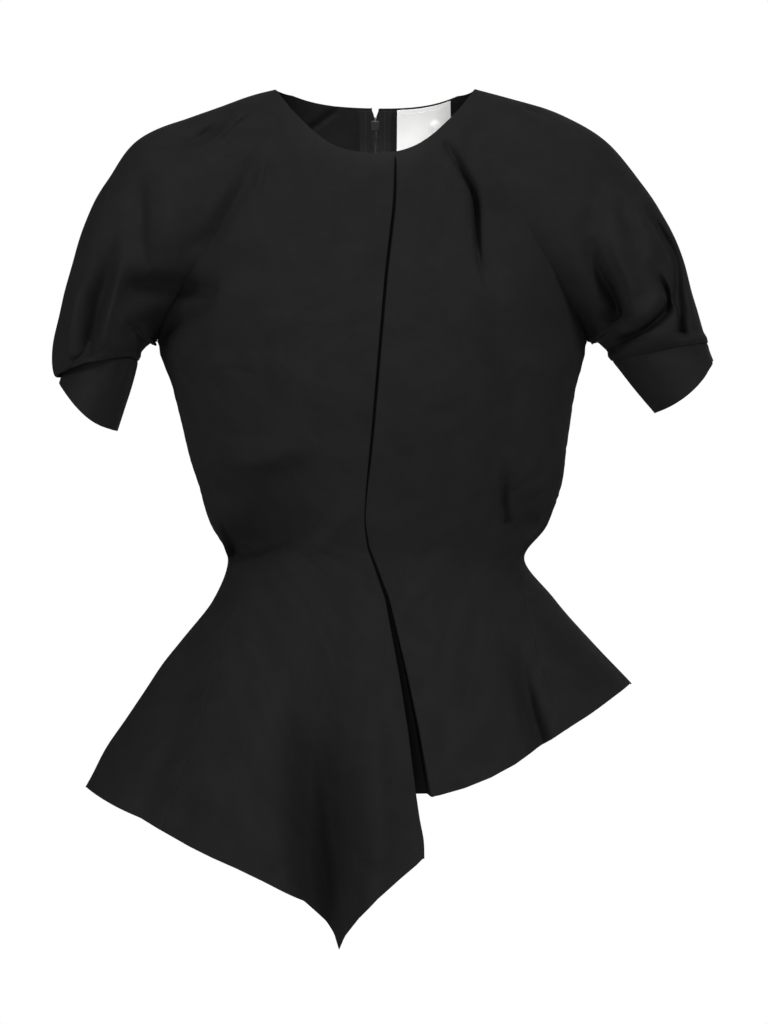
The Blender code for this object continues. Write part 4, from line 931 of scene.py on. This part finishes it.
def draw_edge(ordered, rows, middle, normals, depth, pucker):
    """Moves a grid's first column to a seam's middle line and sinks it into the seam's valley."""
    strip = ordered[rows]
    spread = edge_distance(strip)
    away = (middle - strip[:, 0])[:, None] * bell(spread, MEET_WIDTH)[..., None]
    sink = depth * bell(spread, SEAM_WIDTH)
    waves = PUCKER_DEPTH * pucker[:, None] * bell(spread, PUCKER_WIDTH)
    ordered[rows] = strip + away + (waves - sink)[..., None] * normals[:, None]


def sewn(first, first_column, second, second_column, rows, depth):
    """Draws two edges together at their middle and sinks them into a puckered seam valley."""
    normals = grid_normals(first)[rows, first_column] + grid_normals(second)[rows, second_column]
    normals = unit(normals)
    middle = (first[rows, first_column] + second[rows, second_column]) / 2
    phase = 2 * math.pi * lengths_along(middle) / PUCKER_LENGTH
    pucker = np.sin(phase + PUCKER_SWAY * np.sin(PUCKER_DRIFT * phase))
    pucker = pucker * np.sin(PUCKER_FADE * phase + 0.4)
    for points, column in ((first, first_column), (second, second_column)):
        ordered = points if column == 0 else points[:, ::-1]
        draw_edge(ordered, rows, middle, normals, depth, pucker)


def closed_seam(points, first_row):
    """The underarm seam of a sleeve, where the strip's two edges close the tube."""
    rows = slice(first_row, None)
    middle = (points[rows, 0] + points[rows, -1]) / 2
    normals = grid_normals(points, first_row)[rows, 0]
    for ordered in (points, points[:, ::-1]):
        draw_edge(ordered, rows, middle, normals, SEAM_DEPTH, np.zeros(len(middle)))


def cloth_lengths(points):
    """Each point's place on the flat cloth in metres: across along its row, and down its column."""
    across = edge_distance(points)
    across -= across[:, across.shape[1] // 2][:, None]
    steps = np.linalg.norm(np.diff(points, axis=0), axis=-1)
    down = np.concatenate([np.zeros((1, points.shape[1])), np.cumsum(steps, axis=0)])
    return np.stack([across, down, np.zeros(down.shape)], axis=-1) * MM


def placed(name, data):
    """A new object of the scene that holds a mesh, a lamp or the camera."""
    made = bpy.data.objects.new(name, data)
    bpy.context.scene.collection.objects.link(made)
    return made


def cloth_piece(name, points, thickness, surface, closed_from=None):
    """A thin shell of cloth through a grid of points, with its cloth lengths kept for the weave."""
    rows, columns = points.shape[:2]
    index = np.arange(rows * columns).reshape(rows, columns)
    if closed_from is not None:
        index[closed_from:, -1] = index[closed_from:, 0]
    used = np.unique(index)
    number = np.full(rows * columns, -1)
    number[used] = np.arange(len(used))
    index = number[index]
    quads = np.stack([index[:-1, :-1], index[1:, :-1], index[1:, 1:], index[:-1, 1:]], axis=-1)
    mesh = bpy.data.meshes.new(name)
    mesh.from_pydata((points.reshape(-1, 3)[used] * MM).tolist(), [], quads.reshape(-1, 4).tolist())
    lengths = mesh.attributes.new("cloth", "FLOAT_VECTOR", "POINT")
    lengths.data.foreach_set("vector", cloth_lengths(points).reshape(-1, 3)[used].ravel())
    mesh.shade_smooth()
    mesh.materials.append(surface)
    piece = placed(name, mesh)
    wall = piece.modifiers.new("wall", "SOLIDIFY")
    wall.thickness = thickness * MM
    wall.offset = -1
    evaluated = piece.evaluated_get(bpy.context.evaluated_depsgraph_get())
    walled = bpy.data.meshes.new_from_object(evaluated)
    walled.name = name
    walled.set_sharp_from_angle(angle=EDGE_ANGLE)
    piece.modifiers.clear()
    piece.data = walled
    bpy.data.meshes.remove(mesh)
    return piece


def tube_mesh(name, paths, radius, sides, surface):
    """One mesh of round tubes with closed ends, one along each path."""
    points = []
    faces = []
    for path in paths:
        path = np.asarray(path, dtype=float)
        way = unit(np.gradient(path, axis=0))
        side = unit(np.cross(way, np.roll(way, 1, axis=1) + TUBE_START))
        for i in range(1, len(side)):
            side[i] = unit(side[i - 1] - np.dot(side[i - 1], way[i]) * way[i])
        up = np.cross(way, side)
        start = len(points)
        for i, centre in enumerate(path):
            for k in range(sides):
                angle = 2 * math.pi * k / sides
                spoke = math.cos(angle) * side[i] + math.sin(angle) * up[i]
                points.append(centre + radius * spoke)
        for i in range(len(path) - 1):
            for k in range(sides):
                a = start + i * sides + k
                b = start + i * sides + (k + 1) % sides
                faces.append((a, b, b + sides, a + sides))
        end = start + (len(path) - 1) * sides
        faces.append(tuple(range(start + sides - 1, start - 1, -1)))
        faces.append(tuple(range(end, end + sides)))
    mesh = bpy.data.meshes.new(name)
    mesh.from_pydata((np.array(points) * MM).tolist(), [], faces)
    mesh.shade_smooth()
    mesh.materials.append(surface)
    return placed(name, mesh)


def inside_of_back(turn, level, depth):
    """Points inside a back, a little in from its outer face."""
    turn, level = np.broadcast_arrays(np.asarray(turn, float), np.asarray(level, float))
    inside = np.clip(level, NECK_MARGIN, None)
    normals = surface_normals(body_point, turn, inside, FOLDED_TURN_STEP, FOLDED_LEVEL_STEP)
    return body_point(turn, level) - depth * normals


def strip_on_back(side, distances, levels, depth):
    """A strip laid on the inside of a back at distances from the middle, a row for each level."""
    away = np.linspace(0, STRIP_REACH, STRIP_SAMPLES)
    turn, level = np.meshgrid(BACK_MIDDLE - side * away, levels)
    line = body_base(turn, level)
    spread = edge_distance(line)
    turns = np.stack([np.interp(distances, spread[i], turn[i]) for i in range(len(levels))])
    return inside_of_back(turns, np.broadcast_to(np.asarray(levels)[:, None], turns.shape), depth)


def stitches(line, normals, lift):
    """Short paths for the stitches along a line of points: each dips into the cloth at its ends."""
    along = lengths_along(line)
    pitch = STITCH_LENGTH + STITCH_GAP
    heights = lift * STITCH_HEIGHTS[:, None]
    paths = []
    for i in range(int(along[-1] / pitch)):
        places = i * pitch + STITCH_LENGTH * STITCH_PLACES
        path = along_line(places, along, line)
        paths.append(path + heights * along_line(places, along, normals))
    return paths


def node(tree, kind, **values):
    """A shader node with its settings and the values of its sockets."""
    made = tree.nodes.new(kind)
    for key, value in values.items():
        if hasattr(made, key) and key not in made.inputs:
            setattr(made, key, value)
        else:
            made.inputs[key].default_value = value
    return made


def new_material(name, roughness, specular, sheen=0.0, metallic=0.0):
    """A material with its shader's constant values set."""
    made = bpy.data.materials.new(name)
    made.use_nodes = True
    inputs = made.node_tree.nodes["Principled BSDF"].inputs
    inputs["Roughness"].default_value = roughness
    inputs["Specular IOR Level"].default_value = specular
    inputs["Sheen Weight"].default_value = sheen
    inputs["Metallic"].default_value = metallic
    return made, made.node_tree, inputs


def coloured(tree, value, dark, pale, start=0.0, end=1.0):
    """The surface's colour runs from dark to pale as the value runs from start to end."""
    ramp = node(tree, "ShaderNodeValToRGB")
    for i, (place, colour) in enumerate(((start, dark), (end, pale))):
        ramp.color_ramp.elements[i].position = place
        ramp.color_ramp.elements[i].color = (*colour, 1)
    tree.links.new(value, ramp.inputs["Fac"])
    tree.links.new(ramp.outputs["Color"], tree.nodes["Principled BSDF"].inputs["Base Color"])


def relief(tree, height, strength, distance):
    """The surface's fine relief, with its full height in millimetres."""
    bump = node(tree, "ShaderNodeBump", Strength=strength, Distance=distance * MM)
    tree.links.new(height, bump.inputs["Height"])
    tree.links.new(bump.outputs["Normal"], tree.nodes["Principled BSDF"].inputs["Normal"])


def roughened(tree, value, low, high, start=0.0, end=1.0):
    """The surface's roughness runs from low to high as the value runs from start to end."""
    rough = node(tree, "ShaderNodeMapRange")
    for key, number in (("From Min", start), ("From Max", end), ("To Min", low), ("To Max", high)):
        rough.inputs[key].default_value = number
    tree.links.new(value, rough.inputs["Value"])
    tree.links.new(rough.outputs["Result"], tree.nodes["Principled BSDF"].inputs["Roughness"])


def scaled(tree, source, scale):
    """A place on the cloth with each of its directions stretched."""
    stretch = node(tree, "ShaderNodeVectorMath", operation="MULTIPLY")
    stretch.inputs[1].default_value = scale
    tree.links.new(source, stretch.inputs[0])
    return stretch.outputs["Vector"]


def noise(tree, vector, scale, detail, roughness=0.5):
    """Noise at a place on the cloth."""
    made = node(tree, "ShaderNodeTexNoise", Scale=scale, Detail=detail, Roughness=roughness)
    tree.links.new(vector, made.inputs["Vector"])
    return made.outputs["Fac"]


def combined(tree, operation, first, second, clamp=False):
    """Two values combined; either may be a number."""
    made = node(tree, "ShaderNodeMath", operation=operation)
    made.use_clamp = clamp
    for socket, value in zip(made.inputs, (first, second)):
        if isinstance(value, (int, float)):
            socket.default_value = value
        else:
            tree.links.new(value, socket)
    return made.outputs["Value"]


# The weave: how the threads wander, the size of thick places and mottle, and their shares
THREAD_WOBBLE = 1.2
SLUB_ACROSS = (38, 1150, 1)
SLUB_DOWN = (1250, 30, 1)
MOTTLE_SCALE = 34
WEAVE_TONE = 0.25
SLUB_HEIGHT = 1.4
ROUGHNESS_SPREAD = 0.06


def threads(tree, cloth, pitch, direction, wobble):
    """The ridges of one set of threads, a little uneven in width."""
    wave = node(tree, "ShaderNodeTexWave", Scale=math.pi / 10 / (pitch * MM), Distortion=wobble)
    wave.wave_type = "BANDS"
    wave.bands_direction = direction
    wave.inputs["Detail"].default_value = 2
    wave.inputs["Detail Scale"].default_value = 0.35
    tree.links.new(cloth, wave.inputs["Vector"])
    return wave.outputs["Fac"]


def woven(name, dark, pale, pitch, roughness, specular, sheen, slub, bump):
    """A plain weave of slubby yarn: two sets of threads, thick places in them and a faint mottle."""
    made, tree, _ = new_material(name, roughness, specular, sheen)
    cloth = node(tree, "ShaderNodeAttribute", attribute_name="cloth").outputs["Vector"]
    warp = threads(tree, cloth, pitch, "X", THREAD_WOBBLE)
    weft = threads(tree, cloth, pitch, "Y", THREAD_WOBBLE)
    weave = combined(tree, "MAXIMUM", warp, weft)
    slub_across = noise(tree, scaled(tree, cloth, SLUB_ACROSS), 1, 2)
    slub_down = noise(tree, scaled(tree, cloth, SLUB_DOWN), 1, 2)
    slubs = combined(tree, "ADD", slub_across, slub_down)
    mottle = noise(tree, cloth, MOTTLE_SCALE, detail=5, roughness=0.65)
    tone = combined(tree, "MULTIPLY", slubs, slub)
    tone = combined(tree, "ADD", tone, combined(tree, "MULTIPLY", mottle, 1 - slub))
    weave_tone = combined(tree, "MULTIPLY", weave, WEAVE_TONE)
    coloured(tree, combined(tree, "ADD", weave_tone, tone, True), dark, pale, start=0.4)
    height = combined(tree, "ADD", weave, combined(tree, "MULTIPLY", slubs, SLUB_HEIGHT))
    relief(tree, height, strength=0.6, distance=bump)
    smoother = roughness - ROUGHNESS_SPREAD
    rougher = min(1.0, roughness + ROUGHNESS_SPREAD)
    roughened(tree, slubs, smoother, rougher, start=0.6, end=1.4)
    return made


def enamel(name, colour):
    """A dark hard surface, enamel or plastic, faintly uneven and worn to a softer shine."""
    made, tree, _ = new_material(name, roughness=0.35, specular=0.5, metallic=0.35)
    place = node(tree, "ShaderNodeTexCoord").outputs["Object"]
    wear = noise(tree, place, scale=420, detail=5, roughness=0.6)
    worn = tuple(2.2 * c for c in colour)
    coloured(tree, wear, colour, worn, start=0.35, end=0.8)
    roughened(tree, wear, low=0.28, high=0.5)
    relief(tree, noise(tree, place, scale=900, detail=3), strength=0.25, distance=0.03)
    return made


def thread(name, colour):
    """Twisted sewing thread."""
    made, tree, _ = new_material(name, roughness=0.7, specular=0.25, sheen=0.1)
    place = node(tree, "ShaderNodeTexCoord").outputs["Object"]
    twist = noise(tree, scaled(tree, place, (2600, 2600, 1400)), scale=1, detail=2)
    coloured(tree, twist, [0.75 * c for c in colour], [1.3 * c for c in colour])
    relief(tree, twist, strength=0.5, distance=0.05)
    return made


linen = woven(
    "linen_cloth", dark=(0.0088, 0.0084, 0.0090), pale=(0.0150, 0.0144, 0.0152),
    pitch=THREAD_PITCH, roughness=0.94, specular=0.03, sheen=0.0, slub=0.3, bump=0.10,
)
tape_cloth = woven(
    "zip_tape_cloth", dark=(0.010, 0.010, 0.0103), pale=(0.020, 0.020, 0.0207),
    pitch=0.75, roughness=0.85, specular=0.08, sheen=0.0, slub=0.1, bump=0.08,
)
label_cloth = woven(
    "label_cloth", dark=(0.80, 0.80, 0.79), pale=(0.90, 0.90, 0.89),
    pitch=0.35, roughness=0.65, specular=0.25, sheen=0.1, slub=0.1, bump=0.03,
)
coil_plastic = enamel("coil_plastic", (0.012, 0.012, 0.0125))
zip_enamel = enamel("zip_enamel", (0.020, 0.020, 0.0205))
dark_thread = thread("dark_thread", (0.016, 0.016, 0.0165))
pale_thread = thread("pale_thread", (0.72, 0.72, 0.70))

# The cloth pieces, drawn together along their seams
front_right = front_right_points()
front_left = front_left_points()
back_right = back_points(-1, back_seam_right, SIDE_SEAM_RIGHT, "back_right")
back_left = back_points(1, seam_left, SIDE_SEAM_LEFT, "back_left")
sleeve_right = sleeve_points(SLEEVE_RIGHT, -1)
sleeve_left = sleeve_points(SLEEVE_LEFT, 1)
raglan = slice(0, YOKE_STEPS + 1)
flank = slice(YOKE_STEPS, None)
sewn(front_right, 0, sleeve_right, -1, raglan, RAGLAN_DEPTH)
sewn(back_right, -1, sleeve_right, 0, raglan, RAGLAN_DEPTH)
sewn(front_left, -1, sleeve_left, 0, raglan, RAGLAN_DEPTH)
sewn(back_left, 0, sleeve_left, -1, raglan, RAGLAN_DEPTH)
sewn(front_right, 0, back_right, -1, flank, SIDE_DEPTH)
sewn(front_left, -1, back_left, 0, flank, SIDE_DEPTH)
closed_seam(sleeve_right, YOKE_STEPS)
closed_seam(sleeve_left, YOKE_STEPS)

# Each sheet of cloth. Columns: node, points, thickness, the row from which it closes into a tube,
# how it is held, and the size of its cut in metres: width, length and area.
SHEETS = (
    ("front_right", front_right, CLOTH, None, "hung", (0.37, 0.76), 0.150),
    ("front_left", front_left, CLOTH, None, "hung", (0.26, 0.65), 0.117),
    ("back_right", back_right, CLOTH, None, "hung", (0.46, 0.76), 0.150),
    ("back_left", back_left, CLOTH, None, "hung", (0.43, 0.66), 0.128),
    ("sleeve_right", sleeve_right, CLOTH, YOKE_STEPS, "gathered", (0.41, 0.37), 0.100),
    ("sleeve_left", sleeve_left, CLOTH, YOKE_STEPS, "gathered", (0.43, 0.35), 0.095),
    ("cuff_right", cuff_points(CUFF_RIGHT, -1), CUFF_CLOTH, 0, "hung", (0.28, 0.066), 0.0157),
    ("cuff_left", cuff_points(CUFF_LEFT, 1), CUFF_CLOTH, 0, "hung", (0.30, 0.06), 0.0122),
)
for name, points, thickness, closed_from, held, flat, area in SHEETS:
    piece = cloth_piece(name + "_linen", points, thickness, linen, closed_from)
    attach(piece, "blouse")
    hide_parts(name)

# The zip's tapes and their stitches
zip_levels = np.linspace(ZIP_TOP_LEVEL, ZIP_END_LEVEL, TAPE_ROWS)
half_gap = np.interp(-body_base(BACK_MIDDLE, zip_levels)[:, 2], -ZIP_GAP[:, 0], ZIP_GAP[:, 1])
distances = np.linspace(TAPE_INNER, TAPE_INNER + TAPE_WIDTH, TAPE_COLUMNS)
stitch_paths = []
for side, name, under in (
    (1, "zip_tape_left", "back_left_linen"), (-1, "zip_tape_right", "back_right_linen")
):
    points = strip_on_back(side, distances, zip_levels, TAPE_DEPTH)
    outward = unit(points[:, -1] - points[:, 0])
    points += (outward * (half_gap - ZIP_GAP[-1, 1])[:, None])[:, None]
    line = strip_on_back(side, [TAPE_STITCH_LINE], zip_levels, TAPE_DEPTH + TAPE_CLOTH)[:, 0]
    if side > 0:
        points = points[:, ::-1]
    normals = grid_normals(points)[:, TAPE_COLUMNS // 2]
    stitch_paths += stitches(line, -normals, STITCH_LIFT)
    tape = cloth_piece(name + "_woven", points, TAPE_CLOTH, tape_cloth)
    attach(tape, "blouse")
    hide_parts(name)

tape_stitches = tube_mesh(
    "tape_stitches", stitch_paths, STITCH_RADIUS, THREAD_SIDES, dark_thread
)
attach(tape_stitches, "blouse")

# The coil on the middle of the zip
coil_levels = np.linspace(COIL_TOP_LEVEL, COIL_END_LEVEL, COIL_SAMPLES)
middle_turn = np.full(COIL_SAMPLES, BACK_MIDDLE)
centre = inside_of_back(middle_turn, coil_levels, COIL_DEPTH)
inward = unit(centre - inside_of_back(middle_turn, coil_levels, 0))
along = lengths_along(centre)
start = float(np.interp(-COIL_TOP_Z, -centre[:, 2], along))
turns = int((along[-1] - start) / COIL_PITCH)
angles = np.linspace(0, 2 * math.pi * turns, turns * COIL_STEPS + 1)
place = start + COIL_PITCH * angles / (2 * math.pi)
middle = along_line(place, along, centre)
into = along_line(place, along, inward)
coil_paths = []
for side in (-1, 1):
    phase = angles + (math.pi if side > 0 else 0)
    path = middle + into * (COIL_TALL * np.sin(phase))[:, None]
    path[:, 0] += side * (COIL_APART * COIL_WIDE + COIL_WIDE * np.cos(phase))
    coil_paths.append(path)
coil = tube_mesh("zip_coil", coil_paths, COIL_RADIUS, THREAD_SIDES, coil_plastic)
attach(coil, "blouse")

# The blank label inside the back neck and the stitches along its top edge
label_levels = np.linspace(LABEL_TOP_LEVEL, LABEL_END_LEVEL, LABEL_ROWS)
away = np.linspace(0, LABEL_REACH, LABEL_SAMPLES)
turn, level = np.meshgrid(BACK_MIDDLE - away, label_levels)
line = body_base(turn, level)
places = np.linspace(LABEL_RIGHT, LABEL_LEFT, LABEL_COLUMNS)
turns_at = np.stack([np.interp(places, line[i, :, 0], turn[i]) for i in range(LABEL_ROWS)])
levels_at = np.broadcast_to(label_levels[:, None], turns_at.shape)
points = inside_of_back(turns_at, levels_at, LABEL_DEPTH)
label = cloth_piece("neck_label_blank", points, LABEL_CLOTH, label_cloth)
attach(label, "blouse")
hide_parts("neck_label")
top_edge = inside_of_back(turns_at[2], levels_at[2], LABEL_DEPTH + LABEL_CLOTH)
label_paths = stitches(top_edge, -grid_normals(points)[2], LABEL_STITCH_LIFT)
label_stitches = tube_mesh(
    "label_stitches", label_paths, LABEL_STITCH_RADIUS, THREAD_SIDES, pale_thread
)
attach(label_stitches, "blouse")

# The slider and its pull keep their solids and get enamel
for name in ("zip_slider", "zip_pull"):
    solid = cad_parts[name]
    for slot in solid.material_slots:
        slot.material = zip_enamel

# Floor, light and camera
FLOOR_Z = -1.35
FLOOR_HALF = 4.2
floor_mesh = bpy.data.meshes.new("floor")
ends = [(-1, -1), (1, -1), (1, 1), (-1, 1)]
corners = [(x * FLOOR_HALF, y * FLOOR_HALF, FLOOR_Z) for x, y in ends]
floor_mesh.from_pydata(corners, [], [(0, 1, 2, 3)])
floor_material, _, floor_inputs = new_material("floor_paper", roughness=0.9, specular=0.2)
floor_inputs["Base Color"].default_value = (0.86, 0.86, 0.85, 1)
floor_mesh.materials.append(floor_material)
floor = placed("floor", floor_mesh)

AMBIENT = 0.16
world = bpy.data.worlds.new("studio")
bpy.context.scene.world = world
world.use_nodes = True
tree = world.node_tree
tree.nodes.clear()
seen = node(tree, "ShaderNodeBackground", Strength=1.0, Color=(1, 1, 1, 1))
felt = node(tree, "ShaderNodeBackground", Strength=AMBIENT, Color=(1, 1, 1, 1))
mix = node(tree, "ShaderNodeMixShader")
output = node(tree, "ShaderNodeOutputWorld")
path = node(tree, "ShaderNodeLightPath")
tree.links.new(path.outputs["Is Camera Ray"], mix.inputs["Fac"])
tree.links.new(felt.outputs["Background"], mix.inputs[1])
tree.links.new(seen.outputs["Background"], mix.inputs[2])
tree.links.new(mix.outputs["Shader"], output.inputs["Surface"])

# Lights. Columns: name, place, side in metres, power in watts.
LIGHTS = (
    ("key", (2.1, -2.5, 1.9), 0.9, 84),
    ("left", (-2.7, -2.0, 1.5), 1.0, 58),
    ("front", (-0.3, -4.3, 0.2), 1.2, 46),
    ("top", (0.0, -0.3, 2.3), 1.2, 22),
    ("back", (0.6, 2.8, 0.9), 2.4, 40),
)
AIM = Vector((0, 0, -0.35))
NECK_AIM = Vector((0.0, 0.06, 0.008))
NECK_LAMP_PLACE = (0.0, -3.0, 0.0)
NECK_LAMP_POWER = 310
NECK_LAMP_CONE = math.radians(3.0)
NECK_LAMP_BLEND = 0.45
NECK_LAMP_SIZE = 0.02


def place_lamp(name, lamp, place, aim):
    """Puts a lamp in the scene, turned towards a point."""
    made = placed(name, lamp)
    made.location = place
    made.rotation_euler = (aim - Vector(place)).to_track_quat("-Z", "Y").to_euler()


for name, place, side, power in LIGHTS:
    lamp = bpy.data.lights.new(name, "AREA")
    lamp.shape = "SQUARE"
    lamp.size = side
    lamp.energy = power
    place_lamp(name, lamp, place, AIM)

# A soft spot reaches the inside of the back through the neckline
neck_lamp = bpy.data.lights.new("neck_spot", "SPOT")
neck_lamp.energy = NECK_LAMP_POWER
neck_lamp.spot_size = NECK_LAMP_CONE
neck_lamp.spot_blend = NECK_LAMP_BLEND
neck_lamp.shadow_soft_size = NECK_LAMP_SIZE
place_lamp("neck_spot", neck_lamp, NECK_LAMP_PLACE, NECK_AIM)

# The camera stands in front at a distance, at the photograph's scale
PICTURE_WIDTH = 768
MM_PER_PIXEL = 0.895
CAMERA_PLACE = (0.00806, -4.0, -0.3715)
SENSOR = 36.0
camera_data = bpy.data.cameras.new("camera")
camera_data.sensor_fit = "HORIZONTAL"
camera_data.sensor_width = SENSOR
camera_data.lens = SENSOR * -CAMERA_PLACE[1] / (PICTURE_WIDTH * MM_PER_PIXEL * MM)
camera = placed("camera", camera_data)
camera.location = CAMERA_PLACE
camera.rotation_euler = (math.pi / 2, 0, 0)
bpy.context.scene.camera = camera
bpy.context.scene.view_settings.view_transform = "Standard"
